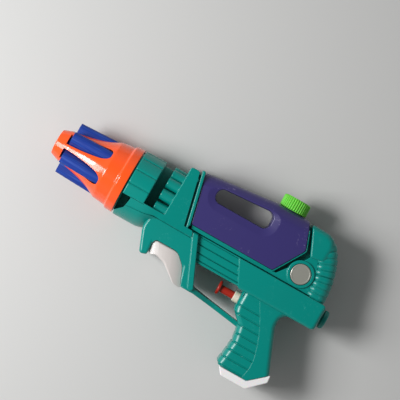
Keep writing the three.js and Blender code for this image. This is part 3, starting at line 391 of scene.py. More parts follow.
def mouldedPlastic(name, look):
    material = bpy.data.materials.new(name)
    wire = emptyTree(material)
    place = wire.make("ShaderNodeTexCoord", {}, "Object")

    def noise(scale, detail, vector=place, **more):
        inputs = {"Vector": vector, "Scale": scale, "Detail": detail, **more}
        return wire.make("ShaderNodeTexNoise", inputs, "Fac")

    def mixed(share, first, second):
        # sockets 6 and 7 are the two colours, output 2 is the mixed one
        return wire.make("ShaderNodeMix", {0: share, 6: first, 7: second}, 2, data_type="RGBA")

    def bump(strength, depth, height, normal):
        return wire.make("ShaderNodeBump", {"Strength": strength, "Distance": depth * mm, "Height": height,
                                            "Normal": normal})

    cloud = noise(look.cloud, 4.0)
    rounded = wire.make("ShaderNodeBevel", {"Radius": look.edge * mm}, "Normal", samples=surface.bevelSamples)
    facing = wire.make("ShaderNodeNewGeometry", {}, "Normal")
    agree = wire.make("ShaderNodeVectorMath", {0: rounded, 1: facing}, "Value", operation="DOT_PRODUCT")
    rim = wire.maths("MINIMUM", (1.0 - agree) * surface.rimGain, 1.0)
    worn = rim * noise(look.scuff, 6.0, Roughness=0.7).above(surface.wearFrom, surface.wearGain)
    base = mixed(cloud * look.cloudShare, look.colour, look.deep)
    if look.streak:
        along = wire.make("ShaderNodeMapping", {"Vector": place, "Scale": surface.streakStretch})
        drawn = noise(surface.streak, 2.0, along).above(surface.streakFrom, surface.streakGain)
        base = mixed(drawn * look.streak, base, look.pale)
    patch = noise(surface.patch, 1.0).above(surface.patchFrom, surface.patchGain)
    speck = noise(surface.speck, 2.0, Distortion=surface.speckWarp)
    speck = speck.above(surface.speckFrom, surface.speckGain)
    flow = bump(look.sinkShare, surface.sinkDepth, noise(look.sink, 1.0), rounded)
    shader = wire.make("ShaderNodeBsdfPrincipled", {
        "Base Color": mixed(worn * look.wear + patch * speck * look.nick, base, look.pale),
        "Roughness": look.roughness + (cloud - 0.5) * look.dullness + worn * surface.wearDull,
        "Normal": bump(look.grainShare, surface.grainDepth, noise(look.grain, 3.0), flow),
        "IOR": surface.refraction, "Specular IOR Level": look.specular, "Metallic": look.metallic,
        "Coat Weight": look.coat, "Coat Roughness": look.coatRoughness,
        "Subsurface Weight": look.depth, "Subsurface Scale": surface.scatter * mm,
    })
    wire.make("ShaderNodeOutputMaterial", {"Surface": shader})
    return material


finishes = {
    "teal": look((0, 141, 131), (0, 128, 119), (70, 178, 168), roughness=0.28, nick=0.4, specular=0.42),
    "orange": look((255, 92, 34), (248, 80, 26), (255, 150, 100), roughness=0.16, dullness=0.06, coat=0.55,
                   coatRoughness=0.08, specular=0.3),
    "blue": look((24, 58, 150), (18, 46, 132), (60, 100, 190), roughness=0.55, streak=0.45, specular=0.25),
    "purple": look((60, 53, 114), (50, 44, 100), (128, 118, 160), roughness=0.32, grainShare=0.14,
                   sinkShare=0.22, nick=0.8),
    "lime": look((110, 214, 60), (90, 198, 48), (170, 236, 130), roughness=0.36, depth=0.1),
    "red": look((180, 42, 26), (152, 30, 20), (226, 110, 90), roughness=0.3, coat=0.2),
    "white": look((244, 242, 242), (236, 234, 236), (252, 251, 251), roughness=0.42, depth=0.1),
    "cream": look((238, 226, 206), (226, 212, 190), (250, 244, 234), roughness=0.42, depth=0.1),
    "grey": look((214, 207, 203), (200, 194, 191), (232, 228, 226), roughness=0.36, coat=0.2),
    "silver": look((172, 172, 162), (158, 158, 150), (226, 226, 224), roughness=0.26, metallic=0.3, coat=0.3),
    "milky": look((226, 226, 216), (212, 212, 204), (240, 240, 236), roughness=0.35, depth=0.2),
    "rubber": look((34, 34, 34), (26, 26, 26), (70, 70, 70), roughness=0.7, dullness=0.1),
    "steel": look((176, 178, 180), (150, 152, 156), (214, 216, 218), roughness=0.32, metallic=1.0),
}
paint = {name: mouldedPlastic(name + "Plastic", values) for name, values in finishes.items()}


def finish(body, name, finishName, nodes, rides="squirter", slotName=None):
    slotName = slotName or finishName + "_plastic"
    body.name = name
    body.data.name = name
    mesh = body.data
    mesh.transform(toFrame)
    mesh.materials.clear()
    mesh.materials.append(paint[finishName])
    mesh.polygons.foreach_set("use_smooth", [True] * len(mesh.polygons))
    mesh.polygons.foreach_set("material_index", [0] * len(mesh.polygons))
    mesh.set_sharp_from_angle(angle=math.radians(smooth.sharpAngle))
    even = body.modifiers.new("evenShading", "WEIGHTED_NORMAL")
    even.keep_sharp = True
    settle(body)
    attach(body, rides)
    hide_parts(*nodes)
    triangles = sum(len(face.vertices) - 2 for face in body.data.polygons)
    print(f"{name}: {triangles} triangles")
    return body


# Nozzle: flared cone, finned core and jet

nozzle = Sizes(
    muzzleRadius=10.6, muzzleInset=0.4, muzzleEdge=1.2, muzzleWall=2.4, noseLength=10.2, noseRadius=14.0,
    flareLength=34.8, flareRadius=24.2, flarePower=3.0, flareStart=0.6, flareSteps=24,
    skirtLength=10.0, skirtRadius=25.4, skirtShares=(0.04, 0.12, 0.5, 0.92), wall=1.8,
    rimStep=2.2, rimLength=8.4, rimRadius=27.4, rimSlope=0.4, rimSteps=10, rimEase=(0.4, 0.36),
    lip=[(0.5, 0.0), (0.1, 0.15), (0.0, 0.5)],
    fins=6, finWidth=9.6, finFront=21.0, finBack=22.8, finEdge=4.4, finSink=0.5, hub=9.0, slotGap=0.7,
    slotLead=2.2, jet=3.6, jetBore=0.9, nipple=1.5, nippleLength=3.6,
)
hubBore = nozzle.jet + fit
hubBack = nozzle.noseLength + nozzle.flareLength


def finRing(name, clearance):
    front = nozzle.noseLength - clearance
    back = hubBack + clearance
    lead = 2 * nozzle.finEdge
    foot = nozzle.hub - nozzle.finSink + clearance * nozzle.slotLead
    corners = [(front - lead, foot), (back, foot), (back, nozzle.finBack + clearance),
               (front - lead, nozzle.finFront + clearance)]
    fin = slab("fin", corners, nozzle.finWidth / 2 + clearance, nozzle.finEdge)
    reach = nozzle.rimRadius
    cut(fin, [block("finTrim", 0, front - clearance * nozzle.slotLead, 0, reach, -reach, reach)])
    return repeatRound(name, fin, "blue", nozzle.fins, 0.0, 2 * math.pi / nozzle.fins, follow=1.0)


def coneProfile():
    skirtEnd = hubBack + nozzle.skirtLength
    rimEnd = skirtEnd + nozzle.rimStep
    length = skirtEnd + nozzle.rimLength
    nose = outline([(0, 0), (nozzle.noseLength, 0), (nozzle.noseLength, nozzle.noseRadius),
                    (0, nozzle.muzzleRadius - nozzle.muzzleInset, nozzle.muzzleEdge)])
    outer = sorted({(round(x, 4), round(y, 4)) for x, y in nose if y > 0})
    flare = []
    for step in range(1, nozzle.flareSteps + 1):
        share = step / nozzle.flareSteps
        wide = nozzle.flareStart * share + (1 - nozzle.flareStart) * share ** nozzle.flarePower
        flare.append((nozzle.noseLength + nozzle.flareLength * share,
                      nozzle.noseRadius + (nozzle.flareRadius - nozzle.noseRadius) * wide))
    outer += flare
    outer += [(hubBack + nozzle.skirtLength * share,
               nozzle.flareRadius + (nozzle.skirtRadius - nozzle.flareRadius) * share)
              for share in nozzle.skirtShares]
    rise = nozzle.rimRadius - nozzle.skirtRadius - nozzle.rimSlope
    outer += [(skirtEnd + nozzle.rimStep * turn / math.pi,
               nozzle.skirtRadius + rise * (1 - math.cos(turn)) / 2)
              for turn in turns(math.pi, nozzle.rimSteps)]
    outer.append((rimEnd + nozzle.rimEase[0], nozzle.rimRadius - nozzle.rimEase[1]))
    outer += [(length - along, nozzle.rimRadius - inset) for along, inset in nozzle.lip]
    inner = [(length, nozzle.rimRadius), (rimEnd, nozzle.rimRadius - nozzle.rimSlope),
             (skirtEnd, nozzle.skirtRadius), *flare[::-1], (nozzle.noseLength, nozzle.noseRadius),
             (nozzle.muzzleWall, nozzle.muzzleRadius)]
    return [(0.0, hubBore), *outer, *[(along, radius - nozzle.wall) for along, radius in inner],
            (nozzle.muzzleWall, hubBore), (0.0, hubBore)]


cone = cut(turned("cone", coneProfile(), segments=144), [finRing("finSlots", nozzle.slotGap)])
finish(cone, "nozzleCone", "orange", ["nozzle_cone"])

hubFront = nozzle.muzzleWall + fit
hubNose = min(nozzle.hub, nozzle.muzzleRadius - nozzle.wall - fit)
hub = turned("hub", [(hubFront, hubBore), (hubFront, hubNose), (hubBack, nozzle.hub), (hubBack, hubBore),
                     (hubFront, hubBore)], segments=64)
finish(join([finRing("fins", 0.0), hub]), "finCore", "blue", ["fin_core"])

jetBack = hubBack + 2 * fit
nippleEnd = jetBack + nozzle.nippleLength
jet = ringProfile([(fit, nozzle.jetBore), (fit, nozzle.jet, 0.5), (jetBack, nozzle.jet, 0.4),
                   (jetBack, nozzle.nipple), (nippleEnd, nozzle.nipple), (nippleEnd, nozzle.jetBore)])
finish(turned("jet", jet, segments=48), "nozzleJet", "white", ["nozzle_jet"])
print("nozzle done")

# Casing: barrel, bracket, foregrip frame, rail, handguard, receiver, grip, web, strap and ribbed tail
# A tuple holds a plate's corners, then half its thickness and its edge, its two levels or a groove's floor

barrel = Sizes(
    radius=27.4, deck=-8.5, spigotRadius=24.5, spigotFront=56.4, front=64.6, back=82.8, edge=0.9,
    lobes=14, lobeDepth=1.1, lobePoints=24, lobeSharp=14, hoodTrim=(50, 90, -40, -8.9, -40, 40),
    hoodLine=([(64.0, -8.9), (83.4, -8.9), (83.4, -9.4), (64.0, -9.4)], 24.7),
    coreHigh=24.5, coreWide=7.0, neckBack=114, pipes=9, pipeSpread=math.radians(210), pipeHigh=23.4,
    pipeWide=16.7, pipeFront=90.2, pipeBack=102.8, pipeRadius=4.5, pipeEdge=0.9,
    mouth=([(64.2, -9.3), (72.2, -9.3, 1.0), (70.6, -18.5, 1.0), (64.2, -24.5)], 3.6),
    line=[(60.0, -17.6), (69.6, -16.7), (87.0, -15.0), (93.0, -13.5), (130.0, -13.6)],
    lineHalf=0.35, lineSlope=0.7, lineDepth=0.9, troughLip=[(0.0, -0.6), (0.2, -0.2), (0.6, 0.0)],
    troughSteps=24, taperFront=82.0, taperBack=100.0, footHalf=22.52, footFall=0.109, footFrom=99.0,
    underHalf=18.6,
)
bracket = Sizes(
    half=22.5, edge=1.4,
    plate=[(100.8, 33.8, 2.1), (108.2, 33.8, 2.1), (117.93, -8.5), (125.16, -8.5), (127.23, -13.2),
           (97.6, -13.2), (97.6, -8.5), (100.2, -8.5, 0.8)],
    fall=([(60, 22.5), (99, 22.5, 30), (127.5, 19.4, 6), (140, 19.4)], -30, 50),
    footLine=([(93.0, -13.2), (127.0, -13.5), (127.0, -14.1), (93.0, -13.8)], 17.4),
    bayWall=([(102.8, 31.8), (113.16, 31.8), (122.61, -9.3), (102.8, -9.3)], 16.5),
    rib=([(109.46, 35.7, 0.9), (112.26, 35.7, 0.9), (122.43, -8.5), (119.63, -8.5)], 20.0, 0.7),
)
notchRoof = [(103.2, -28, 3.4), (123.44, -28, 9), (131.96, -36, 9)]
foregrip = Sizes(
    half=18.5, edge=2.4,
    frame=[(91.6, -8.5), (130.66, -8.5), (149.14, -50.5, 2.7), (136.34, -50.5, 2.7), (132.18, -36.5),
           (103.2, -32), (104.2, -41.3, 2.7), (97.75, -43.5, 2.7), (90.2, -24.6, 12)],
    notch=[(103.2, -55.5), *notchRoof, (141.86, -58.5)],
    band=([(125.81, -9.3), (131.01, -9.3), (148.7, -49.5, 2), (143.5, -49.5, 2)], 19.3, 0.8),
    insert=[(103.2, -41.6, 2.5), *notchRoof, (139.09, -52.2, 1.4), (131.4, -51.4, 3.4), (117.6, -41, 12),
            (109.47, -38.8, 5)],
    insertHalf=17.6, insertEdge=2.2, crown=32.0, crownAt=(117.0, -38.0), crownLean=math.radians(24),
)
chassis = Sizes(
    top=-9.3, guardHalf=15.6, ridges=[-28.7, -26.2, -21.3, -15.2, -9.5], ridgeDepth=1.5,
    ridgeEdge=[(0.22, 0.8), (0.55, 0.2), (0.99, 0.0)],
    rail=([(119.63, -4.9), (200.0, -4.9, 1.2), (200.0, -8.5), (119.63, -8.5)], 16.2, 0.8),
    groove=([(121.0, -7.7), (228.0, -7.7), (228.0, -8.6), (121.0, -8.6)], 8.0),
    notch=([(120.8, -6.2), (123.4, -6.2), (123.9, -8.6), (121.3, -8.6)], 11.0),
    strip=([(122.0, -8.6), (172.0, -8.6), (172.0, -9.6), (122.0, -9.6)], 15.0, 0.2),
    receiver=[(166.2, -8.6, 0.8), (243.71, -8.6, 3.5), (243.71, -30, 3.5), (177.12, -30, 3.3)],
    receiverHalf=19.0, receiverEdge=1.0,
    receiverRound=[(140, 10), (243.71, 10), (243.71, -30, 3.5), (140, -30)], receiverRoundEdge=3.0,
    bar=([(139.34, -44.5), (143.78, -41.5), (147.56, -46.67, 5), (200.21, -54.25), (200.21, -57.85),
          (149.14, -50.5), (139.34, -50.5)], 18.5, 0.9),
    barTaper=([(130, 18.4), (144, 18.4, 12), (166, 8.4, 30), (204, 7)], -62, -38),
    plugHole=(5.3, 237.7, 244.7, (0, -19.05, 0)),
)
gripLine = [(181.4, -45.0, 2.4), (190.2, -53.4, 4.9), (192.7, -66.5, 14), (191.5, -77.5, 14),
            (190.2, -86.4, 0.8), (194.2, -89.9)]
grip = Sizes(
    half=15.4, edge=3.8, front=181.61, back=216.51, top=-30.0, foot=-90.5, far=250, margin=3,
    pegX=206.71, pegHole=2.7, hollowEdge=4.0,
    outline=[(181.61, -16.2), *gripLine, (196.53, -98.5), (240.73, -98.5), (216.95, -42, 9.2),
             (216.51, -30, 7), (227.71, -30), (227.71, -16.2)],
    frontRound=[(181.61, 20), *gripLine, (196.53, -110), (270, -110), (270, 20)], frontEdge=6.2,
    underfoot=[(173.61, -88.3), (217.61, -88.3), (245.61, -64.0), (245.61, -114.5), (173.61, -114.5)],
    panel=[(176, -29), (196.2, -29), (206.5, -47.3, 100), (211.8, -60.1, 110), (216.1, -75.8, 32),
           (213.2, -89.2), (212.6, -93), (176, -93)],
    panelDepth=0.6, panelFoot=-97.0, panelTop=-27.0, grooves=8, groovePitch=6.7, grooveDepth=1.0,
    grooveLow=-87.6, grooveFoot=0.25, grooveFloor=0.4, grooveRun=1.5, notchShare=0.45,
)
tail = Sizes(
    web=([(196.9, -11.3), (196.9, -4.9), (212.7, 15.8), (215.6, 21.4), (218.6, 24.0), (224.8, 8.7),
          (227.4, -11.3)], 16.2, 0.5),
    seat=([(189.71, -11.3), (189.71, -4.9), (205.23, 16.4), (206.6, 24), (201.4, 38.4), (206.5, 39.2),
           (216, 22), (216, -11.3)], 9.0),
    cradle=[(123, -11), (200, -11), (214, 20), (207, 37), (198, 33), (199, 10), (190, 0), (123, 0)],
    cradleHalf=17.6, cradleWall=0.9, cradleEdge=0.4,
    strap=[(203.4, 41.3, 1.6), (219, 40.7, 6), (225, 37.8, 5), (227.4, 31.8, 5), (226.8, 20.4, 3.6),
           (213.8, 17.9, 2)],
    strapHalf=18.6, strapEdge=1.4,
    strapCrown=[(192.5, 41.7), (219, 40.7, 8), (225, 37.8, 7), (227.4, 31.8, 7), (226.2, 6.8), (192.5, 6.8)],
    crownEdge=5.0, discAt=(213.83, 3.1), discRadius=8.1, discDepth=3.2, bossRadius=10.9, bossHalf=17.6,
    bossEdge=0.9,
)
hose = Sizes(
    centre=211.81, base=chassis.top, span=20.5, rise=44.0, start=-0.08, sweep=math.radians(66) + 0.08,
    arcPoints=200, pathPoints=163, ribs=10, rib=0.9, ribPower=0.3, radius=7.9, bulge=2.05, corner=0.8,
    cornerPoints=9,
)
pump = Sizes(level=-36.9, bush=4.3, radius=7.2, boreFront=183.6, boreBack=214.5)
screws = Sizes(
    places=[(106.87, 26.4, 22.5), (78.8, -17.5, 16.99), (99.8, -22.6, 18.5), (137.14, -35.5, 18.5),
            (230.71, -17.99, 19.0), (209.51, -73.5, 15.4), (218.67, 30.6, 16.0)],
    sink=3.2, head=2.8, headHeight=1.8, headRound=[(0, 0), (0.2, 1.6), (0.5, 2.3)], headSide=0.9, shank=1.3,
    shankEnd=20.0, point=[(21.6, 0.5), (22.0, 0)], tip=8.0, holeTop=8, boss=3.6, bossInset=1.4,
    slotWidth=0.8, slotReach=1.7, slotDepth=1.0, twist=0.7,
)


def hoodSection(inset):
    count = barrel.lobes * barrel.lobePoints
    points = []
    for step in range(count):
        share = step % barrel.lobePoints / barrel.lobePoints
        dip = abs(2 * ((share + 0.5) % 1) - 1) ** barrel.lobeSharp
        radius = barrel.radius + inset - barrel.lobeDepth * dip
        angle = 2 * math.pi * step / count
        points.append((radius * math.cos(angle), radius * math.sin(angle)))
    return points


def lineLevel(x):
    # the height of the fine groove along the trough
    for (low, first), (high, last) in zip(barrel.line, barrel.line[1:]):
        if x <= high:
            return first + (last - first) * (x - low) / (high - low)


def troughSection(x, inset):
    # round under the hood, with flatter sides where it meets the bracket
    share = min(max((x - barrel.taperFront) / (barrel.taperBack - barrel.taperFront), 0), 1)
    share = (1 - math.cos(math.pi * share)) / 2
    deck, level, half = barrel.deck, lineLevel(x), barrel.lineHalf
    radius = barrel.radius + inset
    onCircle = math.sqrt(radius ** 2 - level ** 2)
    foot = barrel.footHalf - barrel.footFall * max(x - barrel.footFrom, 0)
    top = math.sqrt(radius ** 2 - deck ** 2) * (1 - share) + foot * share
    edge = onCircle * (1 - share) + foot * share
    under = onCircle * (1 - share) + barrel.underHalf * share
    floor = min(edge, under) - barrel.lineDepth
    slope = barrel.lineSlope * half
    left = [(deck, top), (level + half, edge), (level + slope, floor), (level - slope, floor)]
    low = math.hypot(level - half, under)
    first = math.acos((level - half) / low)
    angles = [first + turn for turn in turns(math.pi - first, barrel.troughSteps)[:-1]]
    left += [(low * math.cos(angle), low * math.sin(angle)) for angle in angles]
    return left + [(-low, 0.0)] + [(y, -z) for y, z in left[::-1]]


def trough():
    front, back = barrel.front, barrel.pipeBack
    rows = [(front + along, inset) for along, inset in barrel.troughLip]
    rows += [(front + step, 0.0) for step in range(2, int(back - front) + 1)] + [(back, 0.0)]
    return skin("trough", [[(x, y, z) for y, z in troughSection(x, inset)] for x, inset in rows])


def ellipseSection(high, wide):
    angles = turns(2 * math.pi, smooth.ellipseSteps)[:-1]
    return lambda inset: [((high + inset) * math.cos(angle), (wide + inset) * math.sin(angle))
                          for angle in angles]


def handguardSection(inset):
    # flat ridges with narrow grooves between them
    wide = chassis.guardHalf + inset
    left = []
    for low, high in zip(chassis.ridges, chassis.ridges[1:]):
        left.append((low, wide - chassis.ridgeDepth))
        left += [(low + along, wide - depth) for along, depth in chassis.ridgeEdge]
        left += [(high - along, wide - depth) for along, depth in chassis.ridgeEdge[::-1]]
    left.append((chassis.ridges[-1], wide - chassis.ridgeDepth))
    right = [(y, -z) for y, z in left[::-1]]
    return (left + right)[::-1]


def collarPipes():
    # every second pipe in one body, because neighbours run into each other
    step = barrel.pipeSpread / (barrel.pipes - 1)
    bodies = []
    for first, count in [(0, (barrel.pipes + 1) // 2), (1, barrel.pipes // 2)]:
        pipe = rod("pipe", "x", barrel.pipeRadius, barrel.pipeFront, barrel.pipeBack + wall, segments=40,
                   edge=barrel.pipeEdge)
        bodies.append(repeatRound("collarPipes", pipe, "teal", count, first * step - barrel.pipeSpread / 2,
                                  2 * step, barrel.pipeHigh, barrel.pipeWide))
    return bodies


def tailHose():
    def build(wire, given):
        arc = wire.make("GeometryNodeCurveArc", {
            "Resolution": given.arcPoints, "Radius": 1.0, "Start Angle": given.start,
            "Sweep Angle": given.sweep,
        }, "Curve", mode="RADIUS")
        path = wire.make("GeometryNodeTransform", {
            "Geometry": arc, "Translation": wire.vector(X=given.centre, Y=given.base),
            "Scale": wire.vector(X=given.span, Y=given.rise, Z=1.0),
        })
        path = wire.make("GeometryNodeResampleCurve", {"Curve": path, "Count": given.pathPoints})
        path = wire.make("GeometryNodeSetCurveNormal", {"Curve": path}, mode="Z_UP")
        along = wire.make("GeometryNodeSplineParameter", {}, "Factor")
        wave = wire.maths("ABSOLUTE", wire.maths("SINE", along * given.ribs * math.pi)) ** given.ribPower
        ring = wire.make("GeometryNodeCurvePrimitiveQuadrilateral", {
            "Width": 2.0, "Height": given.bulge * 2.0,
        }, mode="RECTANGLE")
        ring = wire.make("GeometryNodeFilletCurve", {
            "Curve": ring, "Radius": given.corner, "Count": given.cornerPoints, "Limit Radius": True,
        }, mode="POLY")
        return wire.make("GeometryNodeCurveToMesh", {
            "Curve": path, "Profile Curve": ring, "Scale": given.radius + given.rib * wave, "Fill Caps": True,
        }, "Mesh")

    return growTree("tailHose", hose, "teal", build)


def screwHole(place):
    x, y, half = place
    seat = -(half - screws.sink - screws.headHeight) + fit
    top, tip, head, shank = -half - screws.holeTop, screws.tip + fit, screws.head + fit, screws.shank + fit
    profile = [(top, 0), (top, head), (seat, head), (seat, shank), (tip, shank), (tip, 0)]
    return turned("screwHole", profile, "z", (x, y, 0), segments=40)


def gripFront(level):
    # the foremost x of the grip at a height
    points = outline(grip.outline)
    crossings = []
    for here, after in zip(points, points[1:] + points[:1]):
        if (here.y - level) * (after.y - level) < 0:
            crossings.append(here.x + (after.x - here.x) * (level - here.y) / (after.y - here.y))
    return min(crossings)


def ribbedCore():
    # the grip's ribbed surface: every groove has a steep foot and slopes out upwards
    flat, deep = grip.panelDepth, grip.panelDepth + grip.grooveDepth
    edge = grip.frontEdge - flat
    rows = [(grip.panelFoot, flat)]
    for groove in range(grip.grooves):
        low = grip.grooveLow + groove * grip.groovePitch
        rows += [(low - grip.grooveFoot, flat), (low, deep), (low + grip.grooveFloor, deep),
                 (low + grip.grooveRun, flat)]
    rows.append((grip.panelTop, flat))
    rings = []
    for level, depth in rows:
        front = gripFront(level) + flat + (depth - flat) * grip.notchShare
        wide = grip.half - depth
        section = outline([(-wide, front, edge), (wide, front, edge), (wide, grip.far), (-wide, grip.far)])
        rings.append([(x, level, z) for z, x in section])
    return skin("ribbedCore", rings)


def within(name, corners, rounding, half, edge, roundEdge):
    # a slab inside a larger slab that rounds some of its edges more broadly
    return common(slab(name, corners, half, edge), slab("rounding", rounding, half, roundEdge))


def gripForm():
    panel = cut(slab("panel", grip.panel, grip.half + grip.margin), [ribbedCore()])
    blank = within("grip", grip.outline, grip.frontRound, grip.half, grip.edge, grip.frontEdge)
    return cut(blank, [slab("underfoot", grip.underfoot, grip.half + grip.margin), panel])


def casingForm():
    cradle = slab("cradle", tank.outline, tail.cradleHalf, tail.cradleEdge, fit + tail.cradleWall)
    return join([
        rod("spigot", "x", barrel.spigotRadius, barrel.spigotFront, barrel.front + wall, segments=128),
        cut(bar("hood", hoodSection, barrel.front, barrel.back, barrel.edge),
            [block("hoodTrim", *barrel.hoodTrim)]),
        trough(),
        bar("neckCore", ellipseSection(barrel.coreHigh, barrel.coreWide), barrel.back - wall,
            barrel.pipeBack),
        *collarPipes(),
        common(slab("bracket", bracket.plate, bracket.half, bracket.edge), fromAbove("fall", *bracket.fall)),
        slab("bayWall", *bracket.bayWall),
        slab("bayRib", *bracket.rib),
        cut(slab("foregripFrame", foregrip.frame, foregrip.half, foregrip.edge),
            [slab("notch", foregrip.notch, bracket.half)]),
        slab("band", *foregrip.band),
        cut(bar("handguard", handguardSection, barrel.pipeBack, grip.front),
            [slab("notch", foregrip.notch, bracket.half)]),
        slab("rail", *chassis.rail),
        slab("strip", *chassis.strip),
        within("receiver", chassis.receiver, chassis.receiverRound, chassis.receiverHalf,
               chassis.receiverEdge, chassis.receiverRoundEdge),
        gripForm(),
        common(slab("guardBar", *chassis.bar), fromAbove("barTaper", *chassis.barTaper)),
        slab("web", *tail.web),
        slab("seat", *tail.seat),
        common(cradle, slab("cradleRoom", tail.cradle, clear)),
        within("strap", tail.strap, tail.strapCrown, tail.strapHalf, tail.strapEdge, tail.crownEdge),
        tailHose(),
        rod("discBoss", "z", tail.bossRadius, -tail.bossHalf, tail.bossHalf, (*tail.discAt, 0),
            segments=96, edge=tail.bossEdge),
    ])


def casingHollow():
    mouth, mouthFloor = barrel.mouth
    narrow = chassis.guardHalf - chassis.ridgeDepth - wall
    wide = grip.half - wall
    return [
        cut(rod("barrelHollow", "x", barrel.spigotRadius - wall, barrel.spigotFront - over,
                barrel.back - wall, segments=96),
            pairOf("mouthWall", mouth, mouthFloor - wall, clear, wall)),
        bar("neckHollow", ellipseSection(barrel.coreHigh - wall, barrel.coreWide - wall),
            barrel.back - 2 * wall, barrel.neckBack),
        cut(slab("foregripHollow", foregrip.frame, foregrip.half - wall, 0.0, -wall),
            [slab("notch", foregrip.notch, bracket.half, 0.0, wall)]),
        block("handguardHollow", barrel.pipeBack - wall, grip.front + wall, chassis.ridges[0] + wall,
              chassis.top - wall, -narrow, narrow),
        slab("receiverHollow", chassis.receiver, chassis.receiverHalf - wall, 0.0, -wall),
        cut(slab("gripHollow", grip.outline, grip.half - 2 * wall, grip.hollowEdge, -2 * wall),
            [block("gripTop", grip.front - over, grip.far, grip.top - wall, 0, -clear, clear),
             slab("underfoot", grip.underfoot, grip.half + grip.margin, 0.0, wall)]),
        block("throatHollow", grip.front + wall, grip.back - wall, grip.top - 2 * wall, grip.top + 2 * wall,
              -wide, wide),
        slab("strapHollow", tail.strap, tail.strapHalf - tail.crownEdge, 0.0, -wall),
    ]


def casing():
    shell = cut(casingForm(), casingHollow())
    inset = screws.bossInset
    join([shell, *[rod("boss", "z", screws.boss, inset - half, half - inset, (x, y, 0), segments=40)
                   for x, y, half in screws.places]])
    floor, top = tail.bossHalf - tail.discDepth - fit, tail.bossHalf + over
    past = bracket.half + wall
    pumpAt, pegAt = (0, pump.level, 0), (grip.pegX, 0, 0)
    return cut(shell, [
        *pairOf("mouth", *barrel.mouth, barrel.radius),
        *[screwHole(place) for place in screws.places],
        rod("bushHole", "x", pump.bush + fit, grip.front - wall, grip.front + wall + over, pumpAt),
        rod("pumpBed", "x", pump.radius + fit, pump.boreFront, pump.boreBack, pumpAt),
        rod("plugHole", "x", *chassis.plugHole),
        rod("pegHole", "y", grip.pegHole, grip.foot - over, grip.foot + 2 * wall, pegAt, segments=32),
        *[rod("discSeat", "z", tail.discRadius + fit, low, high, (*tail.discAt, 0), segments=96)
          for low, high in [(floor, top), (-top, -floor)]],
        *pairOf("hoodLine", *barrel.hoodLine, barrel.radius + wall),
        *pairOf("footLine", *bracket.footLine, past),
        *pairOf("railGroove", *chassis.groove, past),
        *pairOf("railNotch", *chassis.notch, past),
        slab("tankRoom", tank.outline, past, 0.0, fit),
    ])


split = Sizes(corner=(-10, -110), columns=54, rows=34, cell=5, reach=40)


def halfRoom(low, high):
    # a block with gridded faces across z, so that no face that it leaves on a half is large
    columns, rows, cell = split.columns, split.rows, split.cell
    across, level = columns + 1, (columns + 1) * (rows + 1)
    x, y = split.corner
    points = [(x + column * cell, y + row * cell, z) for z in (low, high) for row in range(rows + 1)
              for column in range(across)]
    faces = []
    for row in range(rows):
        for column in range(columns):
            first = row * across + column
            quad = (first, first + across, first + across + 1, first + 1)
            faces += [quad, tuple(quad[-corner] + level for corner in range(4))]
    border = list(range(across)) + [row * across + columns for row in range(1, rows + 1)]
    border += [rows * across + column for column in range(columns - 1, -1, -1)]
    border += [row * across for row in range(rows - 1, 0, -1)]
    for here, after in zip(border, border[1:] + border[:1]):
        faces.append((here, after, after + level, here + level))
    return addBody("halfRoom", points, faces)


# Water tank

tank = Sizes(
    outline=[(121.83, -4.6, 2.1), (193.23, -4.6, 2.1), (208.43, 20.4, 3.6), (200.23, 42.2, 2.1),
             (172.93, 42.2, 14), (112.66, 35.3, 2.1)],
    crown=[(91.83, -34.6), (238.43, -34.6), (238.43, 42.2), (172.93, 42.2, 14), (91.83, 32.92)],
    half=18.5, edge=0.8, crownEdge=11.0, wall=1.6, seam=0.2, seamHalf=0.35,
    handle=[(127.63, 19.4, 5.4), (175.03, 19.4, 5.4), (175.03, 34.2, 5.4), (127.63, 30.8, 5.4)],
    dishMargin=6.4, dishDepth=1.1, dishPower=1.05, dishSteps=10, dishRise=4, flush=0.01, lip=1.0, lipSteps=5,
    slotInset=0.1, top=42.2, neckX=185.33, neckRadius=8.2, neckBore=6.4, neckFoot=2, neckHeight=7.2,
)


def tankForm(inset):
    half = tank.half - inset
    form = slab("tankForm", tank.outline, half, max(tank.edge - inset, 0.0), -inset)
    return common(form, slab("tankCrown", tank.crown, half, tank.crownEdge - inset, -inset))


def dishTool(side):
    # an even fall from the flat side into the handle slot, ending in a rounded lip
    floor, lip, depth = tank.half - tank.dishDepth, tank.lip, tank.dishDepth
    rows = [(floor - lip - over, -tank.slotInset)]
    rows += [(floor - lip * (1 - math.sin(turn)), lip * (1 - math.cos(turn)))
             for turn in turns(math.pi / 2, tank.lipSteps)]
    rows += [(floor + depth * (1 - (1 - share) ** tank.dishPower), lip + (tank.dishMargin - lip) * share)
             for share in turns(1.0, tank.dishSteps)[1:-1]]
    rows += [(tank.half + tank.flush, tank.dishMargin), (tank.half + tank.dishRise, tank.dishMargin + over)]
    rings = [[(x, y, side * level) for x, y in outline(tank.handle, grow)] for level, grow in rows]
    return skin("dish", rings[::side])


def tankBody():
    neckTop, neckAt = tank.top + tank.neckHeight, (tank.neckX, 0, 0)
    shell = join([
        tankForm(0.0),
        slab("tankSeam", tank.outline, tank.seamHalf, tank.seamHalf * 0.5, tank.seam),
        rod("neck", "y", tank.neckRadius, tank.top - tank.neckFoot, neckTop, neckAt),
    ])
    hollow = cut(tankForm(tank.wall), [
        slab("handleWall", tank.handle, tank.half, 0.0, tank.wall),
        *pairOf("dishWall", tank.handle, tank.half - tank.dishDepth - tank.wall, tank.half + tank.dishMargin,
                tank.dishMargin + tank.wall),
    ])
    return cut(shell, [
        hollow,
        slab("handleSlot", tank.handle, tank.half + over),
        dishTool(1),
        dishTool(-1),
        rod("neckBore", "y", tank.neckBore, tank.top - 2 * tank.neckFoot, neckTop + over, neckAt),
    ])


